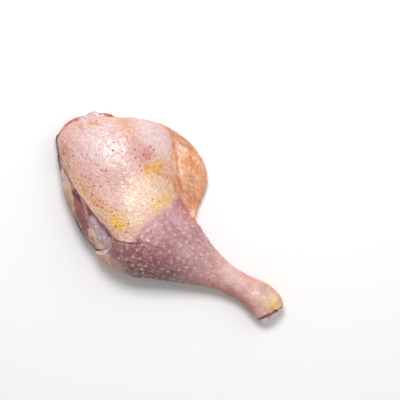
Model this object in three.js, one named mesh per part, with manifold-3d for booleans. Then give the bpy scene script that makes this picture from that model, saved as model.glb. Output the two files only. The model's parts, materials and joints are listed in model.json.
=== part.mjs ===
// A raw duck leg lying on its cut side: thigh, drumstick and shank, with the skin on.
// Millimetres, +Z up. X runs from the hip to the hock and Y across the leg.
// The skin is a sheet that wraps the drumstick and folds round the thigh, the meat fills it,
// and the two bones run through the meat.
import * as THREE from "three";
import { mergeVertices } from "three/addons/utils/BufferGeometryUtils.js";
import Module from "manifold-3d";

// Cross sections from the hip edge to the hock.
// low and high are the ends of the section in plan, on the knee side and on the flap side.
// crest is the height of the flesh and bulk the share of the width that it takes, the rest
// being the loose flap of skin, flap high.
// lowSide and highSide are the heights at which the two sides stand out furthest, under is
// how far the rounding reaches in beneath, lift the clearance below, round the fullness of
// the section and bow how far it bulges towards the hip.
// freeTop and freeUnder are the places across the section where the skin ends, above and below.
const SECTIONS = [
  {
    low: [-97.8, -14.5], high: [-76.6, 24.4], crest: 23, bulk: 1, flap: 9,
    lowSide: 9, highSide: 9, under: 8, lift: 0, round: 2.8, bow: 11, freeTop: 0.02, freeUnder: 0.7,
  },
  {
    low: [-88.5, -21.5], high: [-66.5, 37], crest: 27.5, bulk: 1, flap: 9,
    lowSide: 9.5, highSide: 9, under: 9, lift: 0, round: 2.8, bow: 8, freeTop: 0.022, freeUnder: 0.74,
  },
  {
    low: [-77.5, -28.5], high: [-54.5, 45], crest: 31.5, bulk: 1, flap: 8,
    lowSide: 10, highSide: 8, under: 10, lift: 0, round: 2.7, bow: 5, freeTop: 0.055, freeUnder: 0.75,
  },
  {
    low: [-65.5, -37], high: [-42.5, 49], crest: 34, bulk: 0.97, flap: 8,
    lowSide: 10.5, highSide: 5, under: 11, lift: 0, round: 2.6, bow: 2, freeTop: 0.09, freeUnder: 0.75,
  },
  {
    low: [-52.5, -41.5], high: [-30.5, 51], crest: 35.5, bulk: 0.88, flap: 10.5,
    lowSide: 11, highSide: 4, under: 12, lift: 0, round: 2.5, bow: 0, freeTop: 0.115, freeUnder: 0.74,
  },
  {
    low: [-39, -47], high: [-18.5, 50], crest: 36.5, bulk: 0.8, flap: 11,
    lowSide: 12, highSide: 4, under: 13, lift: 0, round: 2.4, bow: 0, freeTop: 0.15, freeUnder: 0.7,
  },
  {
    low: [-26, -49], high: [-7.5, 46.5], crest: 38, bulk: 0.745, flap: 10.5,
    lowSide: 14, highSide: 4, under: 14, lift: 0, round: 2.3, bow: 0, freeTop: 0.17, freeUnder: 0.62,
  },
  {
    low: [-13.5, -51], high: [0, 38.5], crest: 39.5, bulk: 0.775, flap: 9.5,
    lowSide: 16, highSide: 4, under: 15, lift: 0, round: 2.2, bow: 0, freeTop: 0.17, freeUnder: 0.6,
  },
  {
    low: [1, -47.5], high: [5.5, 27], crest: 39.2, bulk: 0.86, flap: 8.5,
    lowSide: 16.5, highSide: 5, under: 16, lift: 0, round: 2.15, bow: 0, freeTop: 0.15, freeUnder: 0.62,
  },
  {
    low: [9, -43.3], high: [8.6, 18.8], crest: 37.7, bulk: 0.95, flap: 9,
    lowSide: 16, highSide: 7.5, under: 15, lift: 0, round: 2.1, bow: 0, freeTop: 0.13, freeUnder: 0.63,
  },
  {
    low: [17, -37.5], high: [14.5, 15.6], crest: 35.3, bulk: 1, flap: 11,
    lowSide: 15.5, highSide: 11, under: 15, lift: 0, round: 2.1, bow: 0, freeTop: 0.12, freeUnder: 0.64,
  },
  {
    low: [28, -28], high: [27, 13], crest: 31, bulk: 1, flap: 13.5,
    lowSide: 14, highSide: 13.5, under: 14, lift: 0, round: 2.05, bow: 0, freeTop: 0.1, freeUnder: 0.65,
  },
  {
    low: [41, -18.5], high: [41, 11.5], crest: 25.5, bulk: 1, flap: 12,
    lowSide: 12, highSide: 12, under: 12, lift: 0.8, round: 2, bow: 0, freeTop: 0.1, freeUnder: 0.65,
  },
  {
    low: [54, -8.5], high: [54, 12.5], crest: 20.5, bulk: 1, flap: 10.5,
    lowSide: 10.5, highSide: 10.5, under: 10, lift: 1.6, round: 2, bow: 0, freeTop: 0.1, freeUnder: 0.65,
  },
  {
    low: [66, -3.5], high: [66, 16], crest: 18, bulk: 1, flap: 9.5,
    lowSide: 9.5, highSide: 9.5, under: 9.5, lift: 1.6, round: 2, bow: 0, freeTop: 0.1, freeUnder: 0.65,
  },
  {
    low: [78, -1], high: [78, 21], crest: 18.5, bulk: 1, flap: 9.5,
    lowSide: 9.5, highSide: 9.5, under: 10, lift: 0.8, round: 2.1, bow: 0, freeTop: 0.1, freeUnder: 0.65,
  },
  {
    low: [88, -1.5], high: [92.5, 22], crest: 19.5, bulk: 1, flap: 9.5,
    lowSide: 9.5, highSide: 9.5, under: 10, lift: 0, round: 2.2, bow: 0, freeTop: 0.1, freeUnder: 0.65,
  },
  {
    low: [93, -1.5], high: [99.6, 17.2], crest: 18, bulk: 1, flap: 9.5,
    lowSide: 9.5, highSide: 9.5, under: 8, lift: 0.5, round: 2.2, bow: 1.5, freeTop: 0.1, freeUnder: 0.65,
  },
];

// The hip edge, which the butcher's cut leaves rounded.
const HIP_SIDE = 9; // height at which it stands out furthest
const HIP_ROUND = 9; // radius of its rounding
const SECTION_PITCH = 13.5; // mean distance between two sections
const SIDE_FADE = 9; // distance over which the relief fades out to the sides

// The loose flap of skin beside the flesh.
const FLAP_FULL = 4; // height above its edge from which it counts as a flap
const FLAP_SLOPE = 0.85; // how gently the flesh comes down to it, 1 being the gentlest
const FLAP_ROUND = 5; // rounding of its edge
const EDGE_UNDER = 1.4; // how far its edge rounds in beneath, for its height
const CREASE_FILLET = 3.5; // rounding of the crease between the two

// Lumps and hollows of the top: place, reach in X and Y, and height.
const RELIEF = [
  { at: [-60, 4], reach: [20, 17], height: 1.8 }, // thigh muscle
  { at: [-27, -14], reach: [15, 13], height: 2 }, // knee
  { at: [-36, 22], reach: [9, 8], height: -1.6 }, // dimple beside the knee
  { at: [-47, -12], reach: [9, 12], height: -0.8 }, // dip between thigh muscle and knee
  { at: [8, -16], reach: [20, 12], height: 1.4 }, // belly of the drumstick
  { at: [-8, 22], reach: [16, 4], height: -3 }, // crease between drumstick and flap
  { at: [86, 14], reach: [7, 7], height: 1 }, // heel
];
const MEAT_LUMPS = [
  { at: [-94.5, 14, 12], reach: 8, height: -3 }, // hollow round the ball of the hip
  { at: [-91, 19.5, 10.5], reach: 2.8, height: 5.2 }, // gristle beside it
  { at: [-83, 23.5, 9.5], reach: 5.5, height: 3.5 }, // torn end of a muscle
  { at: [-47, -40, 17], reach: 8, height: 1.3 }, // muscle bared over the knee
  { at: [-62, -36, 14], reach: 5, height: 0.5 }, // strip of fat along it
  { at: [-28, -42, 20], reach: 6, height: 1 }, // sinew beside the knee
  { at: [-38, -38, 22], reach: 3.5, height: -0.9 }, // furrow between the two
];
const FAT_STEP = 1; // how far the fat under the thigh skin stands proud of the drumstick
const FAT_EDGE_X = -8.5; // where it ends
const FAT_EDGE_WIDTH = 4;
const FAT_TIP_Y = -26; // corner at which its edge turns back to the slit
const FAT_EDGE_SLANT = 1.6;

// Skin
const SKIN = 2.2; // thickness on the thigh
const SHANK_SKIN = 1.6; // thickness from the drumstick on
const FREE_EDGE = 1.1; // thickness at its cut edges
const SLIT_BOW = 7; // how far the end of the slit over the knee bows towards the hock
const SLIT_LEAN = 9; // how close to its upper end it bows most
const GAP = 0.4; // clearance between two pieces that touch
const LIP_REACH = 7; // distance beyond the skin's edge over which the meat swells out again

// Bones
const SHAFT = 4; // radius of the shin bone
const THIGH_SHAFT = 4.4; // radius of the thigh bone
const SHIN = [[94, 8, 9.3], [78, 9.6, 9.8], [54, 2.3, 11.5], [28, -7, 14], [2, -17, 17], [-16, -23, 18]];
const FEMUR = [[-85, 10.5, 11], [-60, -3, 15], [-36, -16, 17]];
const SHIN_KNOBS = [
  { at: [94.8, 8.5, 9.6], radii: [5, 5.4, 6] }, // large lobe of the hock joint
  { at: [94.6, 2.9, 9.2], radii: [3.7, 3.3, 5] }, // small lobe
  { at: [-18, -23, 18], radii: [8, 7.5, 7.5] }, // knee end
];
const FEMUR_KNOBS = [
  { at: [-86.4, 12, 10.8], radii: [8, 8, 7] }, // ball of the hip joint
  { at: [-37, -16, 17], radii: [7, 7, 7] }, // knee end
];

// Mesh grid: rings along the leg, each with ROUND columns round the section, from the knee side
// over the top and back beneath. The edges of the skin run along its lines.
const ROUND = 40;
const FREE_COLUMN = 4; // column along the free edge above
const CREASE_COLUMN = 15; // column along the crease between flesh and flap
const UNDER_COLUMN = 26; // column along the free edge below
const HIP_RINGS = [0.3, 1.3, 3, 5.5, 9]; // distance of the first rings from the hip edge
const HIP_SKEW = [0, 2.6, 6.4, 5.8, 4.2, 1.9]; // how much farther back they lie at most, over the ball
const HIP_TURN = 0.39; // turn at which that is
const HIP_REACH = 0.16; // how far round it reaches
const RIM_RING = 2; // ring along the hip edge of the skin
const RINGS = 38; // rings along the rest of the leg
const SLIT_RING = 17; // ring along the end of the slit over the knee
const CREASE_LIMIT = 0.4; // turn that it keeps to where there is no flap
const SLIT_FADE = 5; // rings over which its bow dies out
const LAST = SECTIONS.length - 1;

const mix = THREE.MathUtils.lerp;
const clamp = THREE.MathUtils.clamp;
const smooth = THREE.MathUtils.smoothstep;
const arc = (t) => Math.sqrt(1 - (1 - clamp(t, 0, 1)) ** 2);

// Smooth curves through the sections, for the two outlines and for each size.
const outline = (side) => new THREE.SplineCurve(SECTIONS.map((cut) => new THREE.Vector2(...cut[side])));
const lowLine = outline("low");
const highLine = outline("high");
const sizes = Object.fromEntries(
  Object.keys(SECTIONS[0])
    .filter((name) => name !== "low" && name !== "high")
    .map((name) => [
      name,
      new THREE.SplineCurve(SECTIONS.map((cut, k) => new THREE.Vector2(k, cut[name]))),
    ]),
);
const size = (name, s) => sizes[name].getPoint(clamp(s, 0, 1)).y;

// The larger of two heights, with a fillet of that size where they cross.
function filletedMax(a, b, fillet) {
  if (fillet < 1e-6) return Math.max(a, b);
  const t = clamp(0.5 + (0.5 * (a - b)) / fillet, 0, 1);
  return mix(b, a, t) + fillet * t * (1 - t);
}

// Height that the lumps, the hollows and the edge of the fat add at a place in plan.
function relief(x, y) {
  const edge = FAT_EDGE_X - Math.max(0, FAT_TIP_Y - y) * FAT_EDGE_SLANT;
  let height = FAT_STEP * (1 - smooth(x, edge - FAT_EDGE_WIDTH / 2, edge + FAT_EDGE_WIDTH / 2));
  for (const lump of RELIEF) {
    const u = (x - lump.at[0]) / lump.reach[0];
    const v = (y - lump.at[1]) / lump.reach[1];
    height += lump.height * Math.exp(-u * u - v * v);
  }
  return height;
}

// Height of the top across section s, where share is 0 on the knee side and 1 on the flap side.
function topHeight(s, share, width, x, y) {
  const [lowSide, highSide] = [size("lowSide", s), size("highSide", s)];
  const [crest, fullness] = [size("crest", s), size("round", s)];
  const offCrest = 2 * clamp(share / size("bulk", s), 0, 1) - 1;
  const onLowSide = offCrest < 0;
  const side = onLowSide ? lowSide : highSide;
  const flapRise = size("flap", s) - highSide;
  const flapShare = clamp(flapRise / FLAP_FULL, 0, 1);
  const steepness = onLowSide ? 1 / fullness : mix(1 / fullness, FLAP_SLOPE, flapShare);
  const flesh = side + (crest - side) * (1 - Math.abs(offCrest) ** fullness) ** steepness;
  const flap = highSide + flapRise * arc(((1 - share) * width) / FLAP_ROUND);
  const fade = arc((share * width) / SIDE_FADE) * arc(((1 - share) * width) / SIDE_FADE);
  return filletedMax(flesh, flap, CREASE_FILLET * flapShare) + relief(x, y) * fade;
}

// Height of the underside across section s.
function underHeight(s, share, width) {
  const [lift, under] = [size("lift", s), size("under", s)];
  const highUnder = Math.min(under, size("highSide", s) * EDGE_UNDER);
  const lowRise = (size("lowSide", s) - lift) * (1 - arc((share * width) / under));
  const highRise = (size("highSide", s) - lift) * (1 - arc(((1 - share) * width) / highUnder));
  return Math.max(lift, 0) + lowRise + highRise;
}

// Point on the outside of the leg: s runs from hip edge to hock, turn once round the section.
function surface(s, turn) {
  const share = (1 - Math.cos(2 * Math.PI * turn)) / 2;
  const low = lowLine.getPoint(clamp(s, 0, 1));
  const high = highLine.getPoint(clamp(s, 0, 1));
  const chord = high.clone().sub(low);
  const width = chord.length();
  const bow = (size("bow", s) * 4 * share * (1 - share)) / width;
  const x = low.x + chord.x * share - chord.y * bow;
  const y = low.y + chord.y * share + chord.x * bow;
  const onTop = turn - Math.floor(turn) <= 0.5;
  const z = onTop ? topHeight(s, share, width, x, y) : underHeight(s, share, width);
  return new THREE.Vector3(x, y, mix(HIP_SIDE, z, arc(hipDistance(s) / HIP_ROUND)));
}

const hipDistance = (s) => s * LAST * SECTION_PITCH;

// Turn at which a share of the width is reached, above or below.
const turnAbove = (share) => Math.acos(1 - 2 * clamp(share, 0, 1)) / (2 * Math.PI);
const turnBelow = (share) => 1 - turnAbove(share);
const freeTop = (s) => turnAbove(Math.max(size("freeTop", s), 0.01));
const freeUnder = (s) => turnBelow(size("freeUnder", s));

// Station of each ring on the axis, and the turn of each column at a station.
const legLength = LAST * SECTION_PITCH;
const hipStation = HIP_RINGS.at(-1) / legLength;
const ringStations = [
  ...HIP_RINGS.map((distance) => distance / legLength),
  ...Array.from({ length: RINGS }, (_, i) => mix(hipStation, 1, (i + 1) / RINGS)),
];

function columnTurn(s, j) {
  const [above, below] = [freeTop(s), freeUnder(s)];
  const half = ROUND / 2;
  const bare = FREE_COLUMN + ROUND - UNDER_COLUMN;
  if (j <= FREE_COLUMN) return mix(below - 1, above, (j + ROUND - UNDER_COLUMN) / bare);
  const crease = Math.min(turnAbove(size("bulk", s)), CREASE_LIMIT);
  if (j <= CREASE_COLUMN) return mix(above, crease, (j - FREE_COLUMN) / (CREASE_COLUMN - FREE_COLUMN));
  if (j <= half) return mix(crease, 0.5, (j - CREASE_COLUMN) / (half - CREASE_COLUMN));
  if (j <= UNDER_COLUMN) return mix(0.5, below, (j - half) / (UNDER_COLUMN - half));
  return mix(below, 1 + above, (j - UNDER_COLUMN) / bare);
}

// How far back the hip rings lie at a turn, 1 being the farthest.
const hipBack = (turn) => Math.exp(-(((turn - HIP_TURN) / HIP_REACH) ** 2));

// Station and place of the grid node at ring i and column j.
function gridNode(i, j) {
  const acrossSlit = ((j + ROUND - UNDER_COLUMN) % ROUND) / (FREE_COLUMN + ROUND - UNDER_COLUMN);
  const bow = acrossSlit < 1 ? Math.sin(Math.PI * acrossSlit ** SLIT_LEAN) : 0;
  const fade = 1 - smooth(Math.abs(i - SLIT_RING), 0, SLIT_FADE);
  const skew = (HIP_SKEW[i] ?? 0) * hipBack(columnTurn(ringStations[i], j));
  const s = ringStations[i] + (SLIT_BOW * bow * fade + skew) / legLength;
  return { s, place: surface(s, columnTurn(s, j)) };
}

const wrap = (j) => (j + ROUND) % ROUND;
const grid = ringStations.map((_, i) => Array.from({ length: ROUND }, (_, j) => gridNode(i, j)));

// The way out of the surface at each node, square to the lines through its neighbours.
grid.forEach((ring, i) =>
  ring.forEach((node, j) => {
    const [before, after] = [grid[Math.max(i - 1, 0)], grid[Math.min(i + 1, grid.length - 1)]];
    const alongLeg = after[j].place.clone().sub(before[j].place);
    const roundLeg = ring[wrap(j + 1)].place.clone().sub(ring[wrap(j - 1)].place);
    node.out = alongLeg.cross(roundLeg).normalize();
  }),
);

// Whether skin covers the cell after ring i and column j, and whether a node is inside or on
// the edge of the skin.
const overThigh = (j) => wrap(j) >= FREE_COLUMN && wrap(j) < UNDER_COLUMN;
const covered = (i, j) => i >= RIM_RING && i + 1 < grid.length && (i >= SLIT_RING || overThigh(j));
const cellsAround = (i, j) => [covered(i, j), covered(i - 1, j), covered(i, j - 1), covered(i - 1, j - 1)];
const onSkin = (i, j) => cellsAround(i, j).includes(true);
const onEdge = (i, j) => onSkin(i, j) && cellsAround(i, j).includes(false);

const fullThickness = (s) => mix(SKIN, SHANK_SKIN, smooth(s, 0.45, 0.6));
const thickness = (i, j) => (onEdge(i, j) ? FREE_EDGE : fullThickness(grid[i][j].s));

// A closed geometry from points and triangles, with coincident points merged.
function meshOf(points, triangles) {
  const positions = triangles.flatMap((corner) => points[corner].toArray());
  const geometry = new THREE.BufferGeometry();
  geometry.setAttribute("position", new THREE.Float32BufferAttribute(positions, 3));
  return mergeVertices(geometry, 1e-3);
}

const quad = (a, b, c, d) => [a, b, c, a, c, d];

// The flesh: the outer form drawn in under the skin, with a flat end at the hip and the hock.
function meatGeometry() {
  const edge = grid.flatMap((ring, i) => ring.filter((_, j) => onEdge(i, j) && i + 1 < grid.length));
  const points = [];
  for (let i = 0; i < grid.length; i++)
    for (let j = 0; j < ROUND; j++) {
      const { s, place, out } = grid[i][j];
      let depth = thickness(i, j) + GAP;
      if (!onSkin(i, j)) {
        const clear = Math.min(...edge.map((spot) => spot.place.distanceTo(place)));
        depth = (FREE_EDGE + GAP) * (1 - smooth(clear, 0.5, LIP_REACH));
        for (const lump of MEAT_LUMPS) {
          const away = place.distanceTo(new THREE.Vector3(...lump.at)) / lump.reach;
          depth -= lump.height * Math.exp(-away * away) * smooth(clear, 0.5, 3);
        }
      }
      points.push(place.clone().addScaledVector(out, -depth));
    }
  const triangles = [];
  const corner = (i, j) => i * ROUND + wrap(j);
  for (let i = 0; i + 1 < grid.length; i++)
    for (let j = 0; j < ROUND; j++)
      triangles.push(...quad(corner(i, j), corner(i + 1, j), corner(i + 1, j + 1), corner(i, j + 1)));
  const end = grid.length - 1;
  for (let j = 0; j < ROUND / 2; j++) {
    triangles.push(...quad(corner(0, j), corner(0, j + 1), corner(0, -j - 1), corner(0, -j)));
    triangles.push(...quad(corner(end, -j), corner(end, -j - 1), corner(end, j + 1), corner(end, j)));
  }
  return meshOf(points, triangles);
}

// The skin: a sheet over the same form, from the hip rim to the hock, left open by the slit.
function skinGeometry() {
  const points = [];
  const corner = ([i, j], inside) => (i * ROUND + wrap(j)) * 2 + inside;
  for (let i = 0; i < grid.length; i++)
    for (let j = 0; j < ROUND; j++) {
      const { place, out } = grid[i][j];
      points.push(place, place.clone().addScaledVector(out, -thickness(i, j)));
    }
  const triangles = [];
  const face = (...corners) => triangles.push(...quad(...corners));
  for (let i = RIM_RING; i + 1 < grid.length; i++)
    for (let j = 0; j < ROUND; j++) {
      if (!covered(i, j)) continue;
      const [a, b, c, d] = [[i, j], [i + 1, j], [i + 1, j + 1], [i, j + 1]];
      face(corner(a, 0), corner(b, 0), corner(c, 0), corner(d, 0));
      face(corner(a, 1), corner(d, 1), corner(c, 1), corner(b, 1));
      const rim = (p, q) => face(corner(q, 0), corner(p, 0), corner(p, 1), corner(q, 1));
      if (!covered(i - 1, j)) rim(d, a);
      if (!covered(i + 1, j)) rim(b, c);
      if (!covered(i, j - 1)) rim(a, b);
      if (!covered(i, j + 1)) rim(c, d);
    }
  return meshOf(points, triangles);
}

const wasm = await Module();
wasm.setup();

function solidOf(geometry) {
  const bare = geometry.clone();
  bare.deleteAttribute("normal");
  bare.deleteAttribute("uv");
  const merged = mergeVertices(bare, 1e-3);
  return new wasm.Manifold(
    new wasm.Mesh({
      numProp: 3,
      vertProperties: merged.attributes.position.array,
      triVerts: new Uint32Array(merged.index.array),
    }),
  );
}

function geometryOf(solid) {
  const { vertProperties, triVerts } = solid.getMesh();
  const geometry = new THREE.BufferGeometry();
  geometry.setAttribute("position", new THREE.BufferAttribute(vertProperties, 3));
  geometry.setIndex(new THREE.BufferAttribute(triVerts, 1));
  return geometry.toNonIndexed();
}

// A bone: a round shaft along its curve, with the knobs of its joints, all larger by grow.
function bone(route, radius, knobs, grow) {
  const path = new THREE.CatmullRomCurve3(route.map((point) => new THREE.Vector3(...point)));
  const section = new THREE.Shape().absarc(0, 0, radius + grow, 0, 2 * Math.PI);
  const shaft = new THREE.ExtrudeGeometry(section, { steps: 9, curveSegments: 6, extrudePath: path });
  let solid = solidOf(shaft);
  for (const { at, radii } of knobs) {
    const knob = new THREE.SphereGeometry(1, 14, 10);
    knob.scale(...radii.map((r) => r + grow)).translate(...at);
    solid = solid.add(solidOf(knob));
  }
  return solid;
}

const finish = (colour, roughness) =>
  new THREE.MeshStandardMaterial({ color: colour, roughness, metalness: 0 });
const finishes = {
  skin: finish(0xdcaea6, 0.45),
  meat: finish(0x8c3d43, 0.4),
  bone: finish(0xd9cdd8, 0.35),
};

function node(name, geometry, material) {
  const mesh = new THREE.Mesh(geometry, material);
  geometry.computeVertexNormals();
  mesh.name = name;
  return mesh;
}

const shin = (grow) => bone(SHIN, SHAFT, SHIN_KNOBS, grow);
const femur = (grow) => bone(FEMUR, THIGH_SHAFT, FEMUR_KNOBS, grow);
const meat = solidOf(meatGeometry()).subtract(shin(GAP)).subtract(femur(GAP));

// The leg stands on its origin, centred over it.
const leg = new THREE.Group();
leg.name = "duck_leg";
leg.add(
  node("skin", skinGeometry(), finishes.skin),
  node("meat", geometryOf(meat), finishes.meat),
  node("shin_bone", geometryOf(shin(0)), finishes.bone),
  node("thigh_bone", geometryOf(femur(0)), finishes.bone),
);

const box = new THREE.Box3().setFromObject(leg);
const centre = box.getCenter(new THREE.Vector3());
leg.position.set(-centre.x, -centre.y, -box.min.z);

export default leg;
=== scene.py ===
# A raw duck leg with its skin on, lying on its cut side and seen from straight above.
import json
import logging
import math
from collections.abc import Sequence
from dataclasses import dataclass, field
from enum import Enum, IntEnum

import bpy
import numpy as np
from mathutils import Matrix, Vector, kdtree, noise
from mathutils.bvhtree import BVHTree

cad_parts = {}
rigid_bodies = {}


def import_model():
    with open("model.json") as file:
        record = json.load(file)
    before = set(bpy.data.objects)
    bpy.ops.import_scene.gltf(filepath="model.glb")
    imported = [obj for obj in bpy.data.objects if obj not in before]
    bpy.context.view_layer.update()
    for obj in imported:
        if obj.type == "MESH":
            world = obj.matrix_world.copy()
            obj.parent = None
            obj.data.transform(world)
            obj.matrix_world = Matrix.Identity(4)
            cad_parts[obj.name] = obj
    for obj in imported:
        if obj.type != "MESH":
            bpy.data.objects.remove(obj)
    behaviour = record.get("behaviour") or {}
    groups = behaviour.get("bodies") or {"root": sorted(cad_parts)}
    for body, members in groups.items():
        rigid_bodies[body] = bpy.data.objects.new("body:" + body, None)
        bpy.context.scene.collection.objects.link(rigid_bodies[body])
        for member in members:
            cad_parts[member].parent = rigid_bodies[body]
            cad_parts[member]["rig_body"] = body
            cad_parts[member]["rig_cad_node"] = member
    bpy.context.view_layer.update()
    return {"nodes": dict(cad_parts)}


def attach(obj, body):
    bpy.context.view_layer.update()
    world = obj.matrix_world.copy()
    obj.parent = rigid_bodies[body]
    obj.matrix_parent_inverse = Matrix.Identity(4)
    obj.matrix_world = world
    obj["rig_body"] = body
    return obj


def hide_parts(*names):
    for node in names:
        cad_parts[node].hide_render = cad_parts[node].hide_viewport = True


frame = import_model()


LOG = logging.getLogger("duck_leg")
MM = 0.001
PAIRING_ANGLE = math.radians(70)
JOINING_GAP = 0.01 * MM
SEED_STEP = 17.31
LAYER_FALL = 0.8
LAYER_STEP = 2.1
STREAK_CONTRAST = 1.6
SPOT_EDGE = 1.3
WET_FACING = (0.0, 0.6)
Plan = tuple[float, float]
Place = tuple[float, float, float]
Colour = tuple[float, float, float, float]
Socket = bpy.types.NodeSocket


class Side(IntEnum):
    """Which side of the sheet of skin a face is on, and its place among the material slots."""

    OUTSIDE = 0
    INSIDE = 1
    CUT = 2


class Slot(str, Enum):
    """Material slots of the part's record."""

    SKIN = "skin"
    MEAT = "meat"
    BONE = "bone"


def paint(red: int, green: int, blue: int) -> Colour:
    """Turns a screen colour into the shader's own scale.

    Args:
        red: Red, from 0 to 255.
        green: Green, from 0 to 255.
        blue: Blue, from 0 to 255.

    Returns:
        The colour as the shader reads it, with full alpha.
    """
    parts = [channel / 255 for channel in (red, green, blue)]
    linear = [c / 12.92 if c <= 0.04045 else ((c + 0.055) / 1.055) ** 2.4 for c in parts]
    return (linear[0], linear[1], linear[2], 1.0)


class Hue(Enum):
    """The colours of the leg, some of which also serve as painted shade and painted highlights."""

    PINK = paint(232, 196, 189)
    ROSE = paint(216, 166, 158)
    RED_FLUSH = paint(208, 134, 124)
    PEACH = paint(245, 200, 180)
    PEARL = paint(244, 222, 221)
    CREAM = paint(248, 224, 202)
    SAND = paint(236, 203, 172)
    BUTTER = paint(241, 205, 140)
    YELLOW = paint(240, 180, 84)
    BRIGHT_YELLOW = paint(246, 208, 66)
    APRICOT = paint(238, 180, 142)
    HONEY = paint(214, 160, 120)
    ORANGE = paint(224, 150, 98)
    OCHRE = paint(204, 128, 66)
    TAN = paint(176, 124, 98)
    BROWN = paint(150, 92, 72)
    MAUVE = paint(174, 121, 128)
    LILAC = paint(198, 152, 158)
    VEIL = paint(206, 180, 178)
    GREY_ROSE = paint(200, 164, 158)
    PLUM = paint(148, 92, 96)
    # A near-black red-brown, used mostly as painted shade.
    DEEP = paint(84, 40, 38)
    SHANK = paint(236, 190, 179)
    SHANK_DUSK = paint(204, 138, 126)
    SALMON = paint(226, 110, 96)
    LOBE_RED = paint(204, 84, 76)
    BLOOD = paint(166, 66, 70)
    MUSCLE = paint(178, 108, 100)
    DARK_MUSCLE = paint(128, 74, 74)
    DUSKY = paint(120, 82, 94)
    SILVER = paint(200, 176, 186)
    SINEW = paint(204, 176, 180)
    MAROON = paint(92, 44, 46)
    FAT = paint(224, 194, 180)
    FAT_WHITE = paint(244, 228, 226)
    GRISTLE = paint(238, 224, 228)
    GRISTLE_SHADE = paint(192, 164, 178)

    @property
    def light(self) -> np.ndarray:
        """The colour's red, green and blue in the shader's scale."""
        return np.array(self.value[:3])


def smooth(value: np.ndarray, low: float, high: float) -> np.ndarray:
    """Rises smoothly from 0 at low to 1 at high.

    Args:
        value: What is measured.
        low: Where the rise starts.
        high: Where it ends.

    Returns:
        A share from 0 to 1 for each value.
    """
    share = np.clip((value - low) / (high - low), 0, 1)
    return share * share * (3 - 2 * share)


@dataclass(frozen=True)
class Uneven:
    """Uneven natural variation: its largest patches in X, Y and Z, its seed and its finer layers."""

    size: Place
    seed: int
    layers: int = 3

    def at(self, points: np.ndarray) -> np.ndarray:
        """Gives a value of about -1 to 1 at each place.

        Args:
            points: Places in millimetres, one in each row.

        Returns:
            The values.
        """
        scaled = points / np.asarray(self.size) + SEED_STEP * self.seed
        return np.array([noise.fractal(Vector(p), LAYER_FALL, LAYER_STEP, self.layers) for p in scaled])


@dataclass(frozen=True)
class Streaks:
    """Ridges along the level lines of a value: how far apart, how long, and their seed."""

    width: float
    length: float
    seed: int

    def at(self, points: np.ndarray, level: np.ndarray) -> np.ndarray:
        """Gives the ridges' height at each place.

        Args:
            points: Places in millimetres.
            level: The value that the ridges follow, in millimetres.

        Returns:
            A height of about -0.5 to 0.5 for each place.
        """
        spread = points / self.length
        spread[:, 2] += level / self.width
        return 0.5 - np.abs(Uneven((1, 1, 1), self.seed, 2).at(spread)) * STREAK_CONTRAST


def curve_through(places: Sequence[Plan], steps: int = 8) -> np.ndarray:
    """Draws a smooth curve through places in plan.

    Args:
        places: The places, in order.
        steps: Short straight pieces between two places.

    Returns:
        The points of the curve, one in each row.
    """
    ends = np.array(places, float)
    padded = np.vstack([2 * ends[0] - ends[1], ends, 2 * ends[-1] - ends[-2]])
    t = np.linspace(0, 1, steps, endpoint=False)[:, None]
    spans = []
    for k in range(1, len(padded) - 2):
        a, b, c, d = padded[k - 1 : k + 3]
        bend = (2 * a - 5 * b + 4 * c - d) * t**2 + (3 * b - a - 3 * c + d) * t**3
        spans.append(0.5 * (2 * b + (c - a) * t + bend))
    return np.vstack([*spans, ends[-1:]])


def off_curve(
    points: np.ndarray, curve: np.ndarray, reach: float
) -> tuple[np.ndarray, np.ndarray, np.ndarray]:
    """Measures how far points lie from a curve in plan.

    Args:
        points: Places in millimetres.
        curve: The points of the curve.
        reach: Points farther away than this are left out.

    Returns:
        Which points are near, their distance to the left of the curve, negative to its right,
        and the share of the curve's length at which they lie.
    """
    plan = points[:, :2]
    near = np.flatnonzero(((plan > curve.min(0) - reach) & (plan < curve.max(0) + reach)).all(1))
    start, along = curve[:-1], np.diff(curve, axis=0)
    length = np.linalg.norm(along, axis=1)
    offset = plan[near, None, :] - start[None]
    share = np.clip((offset * along).sum(2) / length**2, 0, 1)
    gap = offset - share[..., None] * along
    distance = np.linalg.norm(gap, axis=2)
    best = distance.argmin(1)
    rows = np.arange(len(near))
    side = np.sign(along[best, 0] * offset[rows, best, 1] - along[best, 1] * offset[rows, best, 0])
    run = np.concatenate([[0], np.cumsum(length)])
    place = (run[best] + share[rows, best] * length[best]) / run[-1]
    return near, distance[rows, best] * side, place


def fade_ends(share: np.ndarray, length: float) -> np.ndarray:
    """Fades a line out over a share of its length at either end."""
    return smooth(share, 0, length) * (1 - smooth(share, 1 - length, 1))


def lay_over(under: np.ndarray, over: np.ndarray, share: np.ndarray) -> np.ndarray:
    """Mixes two colours at each place, share being how much of the upper one shows."""
    return under + (over - under) * share[:, None]


@dataclass(frozen=True)
class Patch:
    """A soft-edged spot on the surface: its middle and reach in plan, and how strong it is."""

    at: Plan
    reach: Plan
    strength: float = 0.8
    turn: float = 0.0

    def mask(self, points: np.ndarray) -> np.ndarray:
        """Works out how much of the spot shows at each place.

        Args:
            points: Places in millimetres.

        Returns:
            The shares, up to the spot's strength.
        """
        c, s = math.cos(math.radians(self.turn)), math.sin(math.radians(self.turn))
        off = points[:, :2] - np.array(self.at)
        u = (off[:, 0] * c + off[:, 1] * s) / self.reach[0]
        v = (off[:, 1] * c - off[:, 0] * s) / self.reach[1]
        return self.strength * np.exp(-((u * u + v * v) ** SPOT_EDGE))


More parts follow.
